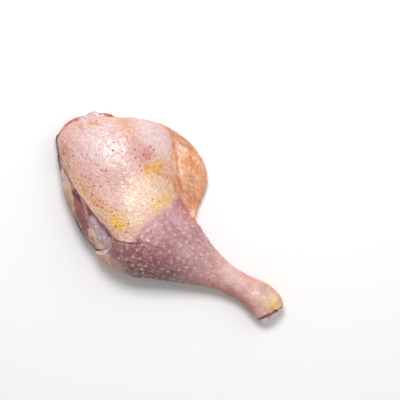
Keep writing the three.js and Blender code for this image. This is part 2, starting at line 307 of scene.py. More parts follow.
@dataclass(frozen=True)
class Area:
    """A soft-edged area of the surface: its outline in plan, its edge's width and its strength."""

    outline: Sequence[Plan]
    edge: float = 0.8
    strength: float = 1.0

    def mask(self, points: np.ndarray) -> np.ndarray:
        """Works out how much of the area shows at each place.

        Args:
            points: Places in millimetres.

        Returns:
            The shares, up to the area's strength.
        """
        curve = curve_through([*self.outline, self.outline[0]])
        near, aside, _ = off_curve(points, curve, 2 * self.edge)
        x, y = points[:, 0, None], points[:, 1, None]
        (x0, y0), (x1, y1) = curve[:-1].T, curve[1:].T
        rise = np.where(y1 == y0, 1, y1 - y0)
        crosses = ((y0 > y) != (y1 > y)) & (x < x0 + (x1 - x0) * (y - y0) / rise)
        inside = crosses.sum(1) % 2 == 1
        depth = np.where(inside, 2 * self.edge, -2 * self.edge)
        depth[near] = np.where(inside[near], 1, -1) * np.minimum(np.abs(aside), 2 * self.edge)
        return self.strength * smooth(depth, -self.edge, self.edge)


@dataclass(frozen=True)
class Stripe:
    """A soft-edged line on the surface: its path in plan, its half width and its strength."""

    path: Sequence[Plan]
    width: float
    strength: float = 1.0
    taper: float = 0.12

    def mask(self, points: np.ndarray) -> np.ndarray:
        """Works out how much of the line shows at each place.

        Args:
            points: Places in millimetres.

        Returns:
            The shares, up to the line's strength.
        """
        mask = np.zeros(len(points))
        near, aside, share = off_curve(points, curve_through(self.path), 3 * self.width)
        fade = self.strength * fade_ends(share, self.taper)
        mask[near] = fade * np.exp(-((aside / self.width) ** 2))
        return mask


Mark = Patch | Area | Stripe


def blend_marks(marks: Sequence[Mark], points: np.ndarray) -> np.ndarray:
    """Lays several marks over each other.

    Args:
        marks: The marks.
        points: Places in millimetres.

    Returns:
        The mask that they make together, from 0 to 1.
    """
    bare = np.ones(len(points))
    for mark in marks:
        bare *= 1 - np.clip(mark.mask(points), 0, 1)
    return 1 - bare


@dataclass(frozen=True)
class Tint:
    """A colour laid over part of the surface."""

    hue: Hue
    where: Mark

    def lay_on(self, colours: np.ndarray, points: np.ndarray) -> np.ndarray:
        """Mixes the colour in where its mark lies.

        Args:
            colours: The colours so far, one in each row.
            points: Places in millimetres.

        Returns:
            The new colours.
        """
        return lay_over(colours, self.hue.light, np.clip(self.where.mask(points), 0, 1))


def lay_tints(colours: np.ndarray, tints: Sequence[Tint], points: np.ndarray) -> np.ndarray:
    """Lays several tints over each other.

    Args:
        colours: The colours so far, one in each row.
        tints: The tints, the lowest first.
        points: Places in millimetres.

    Returns:
        The new colours.
    """
    for tint in tints:
        colours = tint.lay_on(colours, points)
    return colours


def spot(hue: Hue, at: Plan, reach: Plan, strength: float, turn: float = 0.0) -> Tint:
    """Gives a tint on a soft spot."""
    return Tint(hue, Patch(at, reach, strength, turn))


def line(hue: Hue, width: float, strength: float, *path: Plan) -> Tint:
    """Gives a tint along a soft line."""
    return Tint(hue, Stripe(path, width, strength))


def area(hue: Hue, edge: float, strength: float, *outline: Plan) -> Tint:
    """Gives a tint inside an outline."""
    return Tint(hue, Area(outline, edge, strength))


HIP_RIM = line(Hue.SALMON, 1.0, 0.95, (-98.4, 3), (-97.1, 7.7), (-95, 12.2), (-92, 16.4))


@dataclass(frozen=True)
class Mottling:
    """Two colours mixed unevenly: how much of the second shows, and how far that varies."""

    first: Hue
    second: Hue
    share: float
    swing: float
    pattern: Uneven

    def at(self, points: np.ndarray) -> np.ndarray:
        """Gives the colour at each place."""
        share = np.clip(self.share + self.swing * self.pattern.at(points), 0, 1)
        return lay_over(self.first.light, self.second.light, share)


@dataclass(frozen=True)
class Groove:
    """A crease pressed in along a curve in plan, with a lip two widths away on either side."""

    path: Sequence[Plan]
    depth: float
    width: float
    lip_left: float = 0.0
    lip_right: float = 0.0
    # How far the colour darkens in the crease's bottom, as painted shade, from 0 to 1.
    tint: float = 0.4
    taper: float = 0.2

    def press(self, points: np.ndarray, wander: np.ndarray) -> tuple[np.ndarray, np.ndarray]:
        """Works out the crease at each place.

        Args:
            points: Places in millimetres.
            wander: How far the crease strays sideways there.

        Returns:
            How far each place is raised, in millimetres, and how deep in the crease it lies,
            from 0 to 1.
        """
        height, dark = np.zeros(len(points)), np.zeros(len(points))
        near, aside, share = off_curve(points, curve_through(self.path), 6 * self.width)
        aside = (aside + wander[near]) / self.width
        fade = fade_ends(share, self.taper)
        furrow = np.exp(-aside * aside)
        left = self.lip_left * np.exp(-((aside - 2) ** 2))
        right = self.lip_right * np.exp(-((aside + 2) ** 2))
        height[near] = fade * (left + right - self.depth * furrow)
        dark[near] = fade * furrow
        return height, dark


def select_only(piece: bpy.types.Object) -> None:
    """Selects one object and makes it the active one.

    Args:
        piece: The object.
    """
    bpy.ops.object.select_all(action="DESELECT")
    piece.select_set(True)
    bpy.context.view_layer.objects.active = piece


def copy_of_node(node: str, name: str) -> bpy.types.Object:
    """Copies a node's mesh into a new piece, with its corners joined and its triangles paired.

    Args:
        node: The node's name.
        name: The new piece's name.

    Returns:
        The new piece, which rides on the body and stands for the node.
    """
    select_only(frame["nodes"][node])
    bpy.ops.object.duplicate()
    piece = bpy.context.view_layer.objects.active
    piece.name = piece.data.name = name
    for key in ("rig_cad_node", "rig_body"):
        del piece[key]
    piece.parent = None
    piece.data.materials.clear()
    bpy.ops.object.mode_set(mode="EDIT")
    bpy.ops.mesh.select_all(action="SELECT")
    bpy.ops.mesh.remove_doubles(threshold=JOINING_GAP)
    bpy.ops.mesh.tris_convert_to_quads(face_threshold=PAIRING_ANGLE, shape_threshold=PAIRING_ANGLE)
    bpy.ops.object.mode_set(mode="OBJECT")
    for layer in list(piece.data.uv_layers):
        piece.data.uv_layers.remove(layer)
    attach(piece, "root")
    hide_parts(node)
    return piece


def apply_modifier(piece: bpy.types.Object, name: str, kind: str, **settings: object) -> None:
    """Adds a modifier to a piece and applies it.

    Args:
        piece: The piece.
        name: The modifier's name.
        kind: Its type.
        settings: Its own settings.
    """
    select_only(piece)
    modifier = piece.modifiers.new(name, kind)
    for key, value in settings.items():
        setattr(modifier, key, value)
    bpy.ops.object.modifier_apply(modifier=modifier.name)


def refine(piece: bpy.types.Object, levels: int) -> None:
    """Rounds and divides a whole piece with an applied subdivision surface."""
    apply_modifier(piece, "Rounding", "SUBSURF", levels=levels, render_levels=levels)


def choose_faces(piece: bpy.types.Object, chosen: np.ndarray) -> None:
    """Opens a piece for editing with only the chosen faces selected.

    Args:
        piece: The piece.
        chosen: True for each face that is selected.
    """
    select_only(piece)
    bpy.context.tool_settings.mesh_select_mode = (False, False, True)
    mesh = piece.data
    mesh.vertices.foreach_set("select", np.zeros(len(mesh.vertices), bool))
    mesh.edges.foreach_set("select", np.zeros(len(mesh.edges), bool))
    mesh.polygons.foreach_set("select", chosen)
    bpy.ops.object.mode_set(mode="EDIT")


def divide_faces(piece: bpy.types.Object, chosen: np.ndarray) -> None:
    """Cuts each chosen face into four.

    Args:
        piece: The piece.
        chosen: True for each face that is cut.
    """
    choose_faces(piece, chosen)
    bpy.ops.mesh.subdivide(number_cuts=1, smoothness=0)
    bpy.ops.object.mode_set(mode="OBJECT")


def read_rows(rows: bpy.types.bpy_prop_collection, what: str, width: int = 3) -> np.ndarray:
    """Reads a vector from each row of a mesh's data.

    Args:
        rows: The mesh's vertices, faces or the like.
        what: The vector's name.
        width: How many numbers it has.

    Returns:
        The vectors, one in each row.
    """
    values = np.empty(width * len(rows))
    rows.foreach_get(what, values)
    return values.reshape(-1, width)


def read_numbers(rows: bpy.types.bpy_prop_collection, what: str) -> np.ndarray:
    """Reads a whole number from each row of a mesh's data.

    Args:
        rows: The mesh's faces, corners or the like.
        what: The number's name.

    Returns:
        The numbers.
    """
    values = np.empty(len(rows), int)
    rows.foreach_get(what, values)
    return values


def face_values(piece: bpy.types.Object, what: str) -> np.ndarray:
    """Reads a vector of every face, such as its centre, as rows."""
    return read_rows(piece.data.polygons, what)


def tree_of(piece: bpy.types.Object, chosen: np.ndarray | None = None) -> BVHTree:
    """Builds the search tree of a mesh, for distances to it.

    Args:
        piece: The piece or node.
        chosen: True for each face that counts, or None where they all do.

    Returns:
        The tree.
    """
    mesh = piece.data
    corners = [vertex.co.copy() for vertex in mesh.vertices]
    faces = [tuple(face.vertices) for face in mesh.polygons if chosen is None or chosen[face.index]]
    return BVHTree.FromPolygons(corners, faces)


def gap_to(tree: BVHTree, points: np.ndarray) -> np.ndarray:
    """Distance in millimetres from each place, given in metres, to a mesh."""
    return np.array([tree.find_nearest(Vector(p))[3] for p in points]) / MM


class Surface:
    """The vertices of a piece in millimetres, which are shaped and painted by their place."""

    def __init__(self, piece: bpy.types.Object) -> None:
        """Reads the piece's vertices and the directions out of its surface.

        Args:
            piece: The piece.
        """
        self.piece = piece
        self.points = read_rows(piece.data.vertices, "co") / MM
        self.normals = read_rows(piece.data.vertex_normals, "vector")
        self.height = np.zeros(len(self.points))
        self.shift = np.zeros((len(self.points), 3))

    def raise_by(self, height: np.ndarray) -> None:
        """Adds to how far each vertex will be moved out of the surface."""
        self.height += height

    def finish(self) -> None:
        """Moves the vertices, shades the piece smooth and notes that it is wettest on top."""
        self.store("wet", smooth(self.normals[:, 2], *WET_FACING))
        moved = (self.points + self.shift + self.normals * self.height[:, None]) * MM
        moved[:, 2] = np.maximum(moved[:, 2], 0)
        self.piece.data.vertices.foreach_set("co", moved.ravel())
        self.piece.data.update()
        select_only(self.piece)
        bpy.ops.object.shade_smooth()

    def store(self, name: str, values: np.ndarray) -> None:
        """Keeps a value on the vertices, for the material to read."""
        layer = self.piece.data.attributes.new(name, "FLOAT", "POINT")
        layer.data.foreach_set("value", values.astype(np.float32))

    def store_tint(self, colours: np.ndarray) -> None:
        """Keeps the painted colour on the vertices, for the material to read.

        Args:
            colours: The colours, one in each row.
        """
        layer = self.piece.data.attributes.new("tint", "FLOAT_COLOR", "POINT")
        full = np.hstack([np.clip(colours, 0, 1), np.ones((len(colours), 1))])
        layer.data.foreach_set("color", full.astype(np.float32).ravel())


class Follicles:
    """The spots where feathers grew: pores on the thigh and raised bumps on the drumstick."""

    chance_tones: Plan = (0.0, 0.6)

    def __init__(self, places: np.ndarray, tone: np.ndarray) -> None:
        """Keeps the spots and readies the search for the nearest one.

        Args:
            places: The spots' places in millimetres.
            tone: How strong each spot is.
        """
        self.places = places
        self.tone = tone
        self.tree = kdtree.KDTree(len(places))
        for index, place in enumerate(places):
            self.tree.insert(Vector(place), index)
        self.tree.balance()

    @classmethod
    def scattered(
        cls, points: np.ndarray, spacing: np.ndarray, first: np.ndarray, tones: np.ndarray, seed: int
    ) -> "Follicles":
        """Picks spots among the points, each at least its spacing from the others.

        Args:
            points: Places in millimetres where a spot may be.
            spacing: Least distance to the next spot, at each place.
            first: Which points are spots in any case.
            tones: How strong each of those is.
            seed: Seed of the random order.

        Returns:
            The spots.
        """
        cell = float(spacing.max())
        taken: dict[tuple[int, int, int], list[np.ndarray]] = {}
        chosen = []
        draw = np.random.default_rng(seed)
        for index in [*first, *draw.permutation(len(points))]:
            place, room = points[index], spacing[index]
            i, j, k = (int(v) for v in np.floor(place / cell))
            around = [
                other
                for a in (i - 1, i, i + 1)
                for b in (j - 1, j, j + 1)
                for c in (k - 1, k, k + 1)
                for other in taken.get((a, b, c), ())
            ]
            marked = len(chosen) < len(first)
            if marked or all(((other - place) ** 2).sum() > room * room for other in around):
                taken.setdefault((i, j, k), []).append(place)
                chosen.append(place)
        tone = draw.uniform(*cls.chance_tones, len(chosen))
        tone[: len(first)] = tones
        return cls(np.array(chosen), tone)

    def nearest(self, points: np.ndarray) -> tuple[np.ndarray, np.ndarray]:
        """Finds the nearest spot to each place, and its distance in millimetres."""
        found = [self.tree.find(Vector(p)) for p in points]
        return np.array([f[1] for f in found]), np.array([f[2] for f in found])

    def store(self, piece: bpy.types.Object) -> None:
        """Keeps on each face's corners how they lie to the face's nearest spot, and its tone.

        Args:
            piece: The piece, in its final shape.
        """
        mesh = piece.data
        nearest, _ = self.nearest(face_values(piece, "center") / MM)
        face_of_corner = np.repeat(np.arange(len(nearest)), read_numbers(mesh.polygons, "loop_total"))
        corners = read_rows(mesh.vertices, "co")[read_numbers(mesh.loops, "vertex_index")] / MM
        layer = mesh.attributes.new("to_follicle", "FLOAT_VECTOR", "CORNER")
        layer.data.foreach_set("vector", (corners - self.places[nearest[face_of_corner]]).ravel())
        tones = mesh.attributes.new("follicle_tone", "FLOAT", "FACE")
        tones.data.foreach_set("value", self.tone[nearest].astype(np.float32))


class Graph:
    """Adds nodes to one node tree and wires them up."""

    def __init__(self, tree: bpy.types.NodeTree) -> None:
        """Keeps the tree to work on."""
        self.tree = tree

    def feed(self, node: bpy.types.Node, key: str | int, value: object) -> None:
        """Links a socket to a node's input, or sets the input to a plain value.

        Args:
            node: The node.
            key: The input's name or number.
            value: The socket or the plain value.
        """
        if isinstance(value, Socket):
            self.tree.links.new(value, node.inputs[key])
        else:
            node.inputs[key].default_value = value

    def add(self, kind: str, inputs: dict | None = None, **settings: object) -> bpy.types.Node:
        """Adds a node.

        Args:
            kind: The node's type, without its ShaderNode prefix.
            inputs: For sockets by name or number, the value to set or the socket to link.
            settings: Properties of the node itself.

        Returns:
            The node.
        """
        node = self.tree.nodes.new(kind if kind.startswith("Node") else "ShaderNode" + kind)
        for key, value in settings.items():
            setattr(node, key, value)
        for key, value in (inputs or {}).items():
            self.feed(node, key, value)
        return node

    def math(self, operation: str, *values: object, clamp: bool = False) -> Socket:
        """Adds a Math node and gives its result."""
        node = self.add("Math", dict(enumerate(values)), operation=operation, use_clamp=clamp)
        return node.outputs[0]

    def times(self, first: object, second: object) -> Socket:
        """Multiplies two values."""
        return self.math("MULTIPLY", first, second)

    def scaled(self, value: object, scale: object, shift: object, clamp: bool = False) -> Socket:
        """Scales a value and adds a shift to it."""
        return self.math("MULTIPLY_ADD", value, scale, shift, clamp=clamp)

    def rest(self, share: object) -> Socket:
        """Gives what a share leaves of the whole."""
        return self.math("SUBTRACT", 1.0, share)

    def between(self, share: object, first: object, second: object) -> Socket:
        """Mixes two values, share being how much of the second counts."""
        return self.scaled(self.math("SUBTRACT", second, first), share, first)

    def vector(self, operation: str, *values: object) -> Socket:
        """Adds a Vector Math node and gives its result."""
        node = self.add("VectorMath", dict(enumerate(values)), operation=operation)
        return node.outputs["Value" if operation == "LENGTH" else "Vector"]

    def place(self) -> Socket:
        """Gives the place on the object, in millimetres."""
        metres = self.add("TexCoord").outputs["Object"]
        return self.vector("MULTIPLY", metres, (1 / MM, 1 / MM, 1 / MM))

    def ramp(self, value: object, low: object, high: object) -> Socket:
        """Rises smoothly from 0 where the value is low to 1 where it is high."""
        kind = {"interpolation_type": "SMOOTHSTEP", "clamp": True}
        return self.add("MapRange", {0: value, 1: low, 2: high}, **kind).outputs[0]

    def mix(self, share: object, first: object, second: object, blend: str = "MIX") -> Socket:
        """Mixes two colours, share being how much of the second shows."""
        values = {0: share, 6: first, 7: second}
        return self.add("Mix", values, data_type="RGBA", blend_type=blend).outputs[2]

    def stain(self, share: object, colour: object, stain: object) -> Socket:
        """Multiplies a second colour into the first, share being how far."""
        return self.mix(share, colour, stain, "MULTIPLY")

    def mask(self, name: str) -> Socket:
        """Reads a value that the piece keeps."""
        return self.add("Attribute", attribute_name=name).outputs["Fac"]

    def tint(self) -> Socket:
        """Reads the colour painted on the piece."""
        return self.add("Attribute", attribute_name="tint").outputs["Color"]

    def group(self, tree: bpy.types.NodeTree, **inputs: object) -> Socket:
        """Places a shared effect with its own values and gives its result."""
        values = {key.capitalize(): value for key, value in inputs.items()}
        return self.add("Group", values, node_tree=tree).outputs[0]


class Effects:
    """Effects that several finishes share, each a node group that is built once."""

    ridge_span: Plan = (0.32, 0.68)
    cell_depth: float = -0.8
    grain_lift: float = 0.3
    least_size: float = 0.7

    def __init__(self) -> None:
        """Builds the groups."""
        self.blotches = self._blotches()
        self.wrinkles = self._wrinkles()
        self.pebbles = self._pebbles()
        self.spots = self._spots()

    @staticmethod
    def _new(
        name: str, inputs: dict[str, float], output: str
    ) -> tuple[Graph, bpy.types.Node, bpy.types.Node]:
        """Starts a group with named number inputs and one output.

        Args:
            name: The group's name.
            inputs: Each input's name and its first value.
            output: The output's name.

        Returns:
            The graph to fill, its input node and its output node.
        """
        tree = bpy.data.node_groups.new(name, "ShaderNodeTree")
        for key, value in inputs.items():
            socket = tree.interface.new_socket(key, in_out="INPUT", socket_type="NodeSocketFloat")
            socket.default_value = value
        tree.interface.new_socket(output, in_out="OUTPUT", socket_type="NodeSocketFloat")
        graph = Graph(tree)
        return graph, graph.add("NodeGroupInput"), graph.add("NodeGroupOutput")

    @staticmethod
    def _where(graph: Graph, given: bpy.types.Node) -> dict[str, Socket]:
        """Gives a pattern's inputs: its place, shifted by its seed, and the scale for its size."""
        shifted = graph.vector("ADD", graph.place(), given.outputs["Seed"])
        return {"Vector": shifted, "Scale": graph.math("DIVIDE", 1.0, given.outputs["Size"])}

    def _blotches(self) -> bpy.types.NodeTree:
        """Builds soft irregular patches of a given size, as a mask.

        Returns:
            The group.
        """
        names = {"Size": 8.0, "Share": 0.5, "Softness": 0.15, "Seed": 0.0}
        graph, given, result = self._new("blotches", names, "Mask")
        pattern = graph.add("TexNoise", {**self._where(graph, given), "Detail": 4.0}).outputs["Fac"]
        low = graph.math("SUBTRACT", given.outputs["Share"], given.outputs["Softness"])
        high = graph.math("ADD", given.outputs["Share"], given.outputs["Softness"])
        graph.feed(result, 0, graph.ramp(pattern, low, high))
        return graph.tree

    def _wrinkles(self) -> bpy.types.NodeTree:
        """Builds fine ridges along the level lines of a value, as a height from 0 to 1.

        Returns:
            The group.
        """
        names = {"Line": 0.0, "Width": 1.6, "Length": 6.0, "Seed": 0.0}
        graph, given, result = self._new("wrinkles", names, "Height")
        spread = graph.vector("DIVIDE", graph.place(), given.outputs["Length"])
        lift = graph.math("DIVIDE", given.outputs["Line"], given.outputs["Width"])
        up = graph.add("CombineXYZ", {"Z": lift}).outputs[0]
        shifted = graph.vector("ADD", graph.vector("ADD", spread, up), given.outputs["Seed"])
        wave = graph.add("TexNoise", {"Vector": shifted, "Scale": 1.0, "Detail": 2.0, "Roughness": 0.55})
        graph.feed(result, 0, graph.ramp(wave.outputs["Fac"], *self.ridge_span))
        return graph.tree

    def _pebbles(self) -> bpy.types.NodeTree:
        """Builds a fine uneven grain of small round swellings, as a height from 0 to 1.

        Returns:
            The group.
        """
        graph, given, result = self._new("pebbles", {"Size": 1.1, "Seed": 0.0}, "Height")
        where = self._where(graph, given)
        cells = graph.add("TexVoronoi", where, feature="SMOOTH_F1").outputs["Distance"]
        fine = graph.add("TexNoise", {**where, "Detail": 3.0}).outputs["Fac"]
        grain = graph.scaled(cells, self.cell_depth, fine)
        graph.feed(result, 0, graph.math("ADD", grain, self.grain_lift, clamp=True))
        return graph.tree

    def _spots(self) -> bpy.types.NodeTree:
        """Builds the round spots of the feather follicles, as a mask.

        Returns:
            The group.
        """
        names = {"Radius": 0.8, "Softness": 0.5, "Growth": 0.5}
        graph, given, result = self._new("follicle_spots", names, "Mask")
        lie = graph.add("Attribute", attribute_name="to_follicle").outputs["Vector"]
        stray = graph.add("TexNoise", {"Vector": graph.place(), "Scale": 1.1, "Detail": 1.0})
        uneven = graph.math("ADD", stray.outputs["Fac"], 0.5)
        distance = graph.times(graph.vector("LENGTH", lie), uneven)
        grown = graph.scaled(graph.mask("follicle_tone"), given.outputs["Growth"], self.least_size)
        radius = graph.times(given.outputs["Radius"], grown)
        inner = graph.times(radius, graph.rest(given.outputs["Softness"]))
        graph.feed(result, 0, graph.rest(graph.ramp(distance, inner, radius)))
        return graph.tree


@dataclass(frozen=True)
class Layer:
    """A shared effect as a layer of one finish, and how strongly it shows."""

    strength: float

    def show(self, graph: Graph, effect: bpy.types.NodeTree, *within: Socket) -> Socket:
        """Places the effect with the layer's own values.

        Args:
            graph: The material's graph.
            effect: The shared effect.
            within: Masks that limit it.

        Returns:
            The layer's mask, at its strength.
        """
        values = {key: value for key, value in vars(self).items() if key != "strength"}
        mask = graph.group(effect, **values)
        for limit in within:
            mask = graph.times(mask, limit)
        return graph.times(mask, self.strength)


@dataclass(frozen=True)
class Patches(Layer):
    """Soft patches: their size, how far apart they lie, how soft their edge is, and their seed."""

    size: float
    share: float
    softness: float
    seed: float = 0.0


@dataclass(frozen=True)
class Dots(Layer):
    """Dots on the follicles: their radius, how soft they are and how much a strong one grows."""

    radius: float
    softness: float
    growth: float


@dataclass(frozen=True)
class Ridges:
    """Fine wrinkles along a value that the piece keeps: their width, their length and their seed."""

    value: str
    width: float
    length: float
    seed: float = 0.0

    def show(self, graph: Graph, effects: Effects) -> Socket:
        """Places the wrinkles and gives their height, from 0 to 1."""
        given = {"line": graph.mask(self.value), "width": self.width, "length": self.length}
        return graph.group(effects.wrinkles, seed=self.seed, **given)


@dataclass(frozen=True)
class WetFinish:
    """What the raw finishes share: moist, slightly see-through flesh."""

    name: str
    roughness: float = 0.38
    coat: float = 0.3
    coat_roughness: float = 0.14
    subsurface: float = 0.08
    depth: float = 0.9
    scatter: Place = (1.0, 0.4, 0.25)
    specular: float = 0.4
    refraction: float = 1.4

    def start(self) -> tuple[bpy.types.Material, Graph, bpy.types.Node]:
        """Makes the material with its shader.

        Returns:
            The material, its graph and its shader node.
        """
        material = bpy.data.materials.new(self.name)
        material.use_nodes = True
        graph = Graph(material.node_tree)
        shader = graph.tree.nodes["Principled BSDF"]
        shader.subsurface_method = "RANDOM_WALK"
        looks = {
            "Subsurface Weight": self.subsurface,
            "Subsurface Radius": self.scatter,
            "Subsurface Scale": self.depth * MM,
            "Coat Weight": graph.times(graph.mask("wet"), self.coat),
            "Coat Roughness": self.coat_roughness,
            "Specular IOR Level": self.specular,
            "Roughness": self.roughness,
            "IOR": self.refraction,
        }
        for name, value in looks.items():
            graph.feed(shader, name, value)
        return material, graph, shader

    def relief(self, graph: Graph, shader: bpy.types.Node, height: object, depth: float) -> None:
        """Wires a height into the shader's normal.

        Args:
            graph: The material's graph.
            shader: The shader node.
            height: The height, from 0 to 1.
            depth: What a height of 1 stands for, in millimetres.
        """
        bump = graph.add("Bump", {"Height": height, "Distance": depth * MM, "Strength": 1.0})
        graph.feed(shader, "Normal", bump.outputs["Normal"])


@dataclass(frozen=True)
class SkinFinish(WetFinish):
    """Raw skin: pink with red pores on the thigh, mauve with pale bumps on the drumstick."""

    large: Patches = Patches(0.35, 9.0, 0.5, 0.18)
    small: Patches = Patches(0.5, 2.6, 0.5, 0.12, 31.0)
    flecks: Patches = Patches(0.6, 1.8, 0.56, 0.05, 55.0)
    veils: Patches = Patches(0.3, 3.4, 0.53, 0.1, 70.0)
    wettest: Patches = Patches(-0.14, 4.0, 0.5, 0.2, 12.0)
    halos: Dots = Dots(0.55, 1.7, 0.7, 0.6)
    pores: Dots = Dots(1.0, 0.84, 0.45, 0.45)
    bumps: Dots = Dots(1.0, 1.8, 0.75, 0.5)
    rings: Ridges = Ridges("ring", 1.2, 2.2)
    folds: Ridges = Ridges("lay", 1.2, 3.0, 9.0)
    pleats: Ridges = Ridges("across", 1.2, 3.0, 9.0)
    grain: float = 1.3
    ridge_height: float = 0.65
    grain_height: float = 0.4
    bump_height: float = 0.4
    relief_depth: float = 0.5
    valleys: Plan = (0.25, 0.6)
    crests: Plan = (0.56, 0.84)
    golden_tones: Plan = (0.5, 0.62)
    valley_depth: Plan = (0.6, 0.4)
    crest_calm: Plan = (-0.5, 1.0)
    pore_strength: Plan = (0.8, 0.28)
    bump_strength: Plan = (0.4, 0.4)
    shank_veil: float = 0.4
    dry: float = 0.36
    wet_top: float = 0.3
    # Stains the blotches darker, and darkens the wrinkle valleys as painted shade.
    darker: Colour = (0.92, 0.79, 0.76, 1)
    lighter: Colour = (1.08, 1.2, 1.24, 1)
    creased: Colour = (0.60, 0.40, 0.32, 1)
    red_pore: Colour = paint(192, 78, 60)
    brown_pore: Colour = paint(190, 104, 50)
    bump: Colour = paint(231, 203, 186)
    gold: Colour = paint(232, 188, 140)
    veil: Colour = paint(208, 178, 176)
    ochre: Colour = paint(216, 146, 80)

    def build(self, effects: Effects) -> bpy.types.Material:
        """Makes the material.

        Args:
            effects: The shared effects.

        Returns:
            The material.
        """
        material, graph, shader = self.start()
        names = ("thigh", "loose", "shank", "pored", "warm", "bumpy", "follicle_tone")
        thigh, loose, shank, pored, warm, bumpy, tone = [graph.mask(name) for name in names]
        wrinkles = (self.rings, self.folds, self.pleats)
        rings, folds, pleats = [kind.show(graph, effects) for kind in wrinkles]
        ridge = graph.between(thigh, graph.between(loose, folds, pleats), rings)
        grain = graph.group(effects.pebbles, size=self.grain)
        fine = graph.scaled(ridge, self.ridge_height, graph.times(grain, self.grain_height))
        colour = graph.stain(self.large.show(graph, effects.blotches), graph.tint(), self.darker)
        colour = graph.stain(self.small.show(graph, effects.blotches), colour, self.darker)
        # Painted shade: the colour darkens in the valleys of the fine wrinkles, more on the flap.
        valley_shade = graph.rest(graph.ramp(fine, *self.valleys))
        depth = graph.scaled(loose, *self.valley_depth)
        colour = graph.stain(graph.times(valley_shade, depth), colour, self.darker)
        # Painted highlight: the crests of the fine wrinkles are lightened, less on the flap and the
        # shank.
        calm = graph.scaled(graph.math("ADD", loose, shank), *self.crest_calm)
        colour = graph.stain(graph.times(graph.ramp(fine, *self.crests), calm), colour, self.lighter)
        colour = graph.mix(self.flecks.show(graph, effects.blotches, warm), colour, self.ochre)
        blurred = graph.scaled(shank, self.shank_veil, bumpy, clamp=True)
        colour = graph.mix(self.veils.show(graph, effects.blotches, blurred), colour, self.veil)
        colour = graph.mix(self.halos.show(graph, effects.spots, tone, pored, warm), colour, self.ochre)
        strong = graph.scaled(graph.times(tone, tone), *self.pore_strength, clamp=True)
        pores = self.pores.show(graph, effects.spots, strong, pored)
        colour = graph.mix(pores, colour, graph.mix(warm, self.red_pore, self.brown_pore))
        swollen = self.bumps.show(graph, effects.spots, bumpy)
        tip = graph.mix(graph.ramp(tone, *self.golden_tones), self.bump, self.gold)
        pale = graph.scaled(tone, *self.bump_strength)
        colour = graph.mix(graph.times(swollen, pale), colour, tip)
        # Painted shade: the crease mask darkens the colour in the creases.
        colour = graph.stain(graph.mask("crease"), colour, self.creased)
        graph.feed(shader, "Base Color", colour)
        wet = self.wettest.show(graph, effects.blotches)
        gloss = graph.math("ADD", wet, self.roughness + self.dry)
        graph.feed(shader, "Roughness", graph.scaled(graph.mask("wet"), -self.wet_top, gloss))
        self.relief(graph, shader, graph.scaled(swollen, self.bump_height, fine), self.relief_depth)
        return material


@dataclass(frozen=True)
class CutFatFinish(WetFinish):
    """The cut edge and the inner side of the skin: fat, a little browner than the skin above it."""

    patches: Patches = Patches(1.0, 3.0, 0.52, 0.15)
    share: float = 0.45
    grain: float = 0.9
    relief_depth: float = 0.15
    cream: Colour = paint(232, 196, 166)
    rose: Colour = paint(198, 122, 108)

    def build(self, effects: Effects) -> bpy.types.Material:
        """Makes the material.

        Args:
            effects: The shared effects.

        Returns:
            The material.
        """
        material, graph, shader = self.start()
        fat = graph.mix(self.patches.show(graph, effects.blotches), self.cream, self.rose)
        graph.feed(shader, "Base Color", graph.mix(self.share, graph.tint(), fat))
        self.relief(graph, shader, graph.group(effects.pebbles, size=self.grain), self.relief_depth)
        return material


@dataclass(frozen=True)
class FleshFinish(WetFinish):
    """Bared flesh, fat, clots or gristle: painted colours with mottling, fibres with painted shade in the
    grooves between them, and thin films.
    """

    mottling: float = 0.35
    # How dark the painted shade between the fibres is.
    fibres: float = 0.5
    films: float = 0.12
    grain: float = 1.3
    relief_depth: float = 0.35
    dry: float = 0.5
    threads: Ridges = Ridges("lay", 1.0, 7.0)
    # Stains the mottling darker, and darkens the grooves between the fibres as painted shade.
    darker: Colour = (0.72, 0.52, 0.52, 1)
    film: Colour = paint(222, 198, 200)

    def build(self, effects: Effects) -> bpy.types.Material:
        """Makes the material.

        Args:
            effects: The shared effects.

        Returns:
            The material.
        """
        material, graph, shader = self.start()
        large = Patches(self.mottling, 6.0, 0.5, 0.14, 4.0).show(graph, effects.blotches)
        small = Patches(self.mottling, 1.7, 0.52, 0.1, 21.0).show(graph, effects.blotches)
        films = Patches(self.films, 2.8, 0.56, 0.06, 40.0).show(graph, effects.blotches)
        threads = self.threads.show(graph, effects)
        colour = graph.stain(small, graph.stain(large, graph.tint(), self.darker), self.darker)
        colour = graph.mix(films, colour, self.film)
        # Painted shade: the flesh darkens in the grooves between the raised fibres.
        colour = graph.stain(graph.times(graph.rest(threads), self.fibres), colour, self.darker)
        graph.feed(shader, "Base Color", colour)
        gloss = graph.scaled(graph.mask("wet"), -self.dry, self.roughness + self.dry)
        graph.feed(shader, "Roughness", gloss)
        grain = graph.group(effects.pebbles, size=self.grain)
        self.relief(graph, shader, graph.scaled(threads, 0.5, grain), self.relief_depth)
        return material


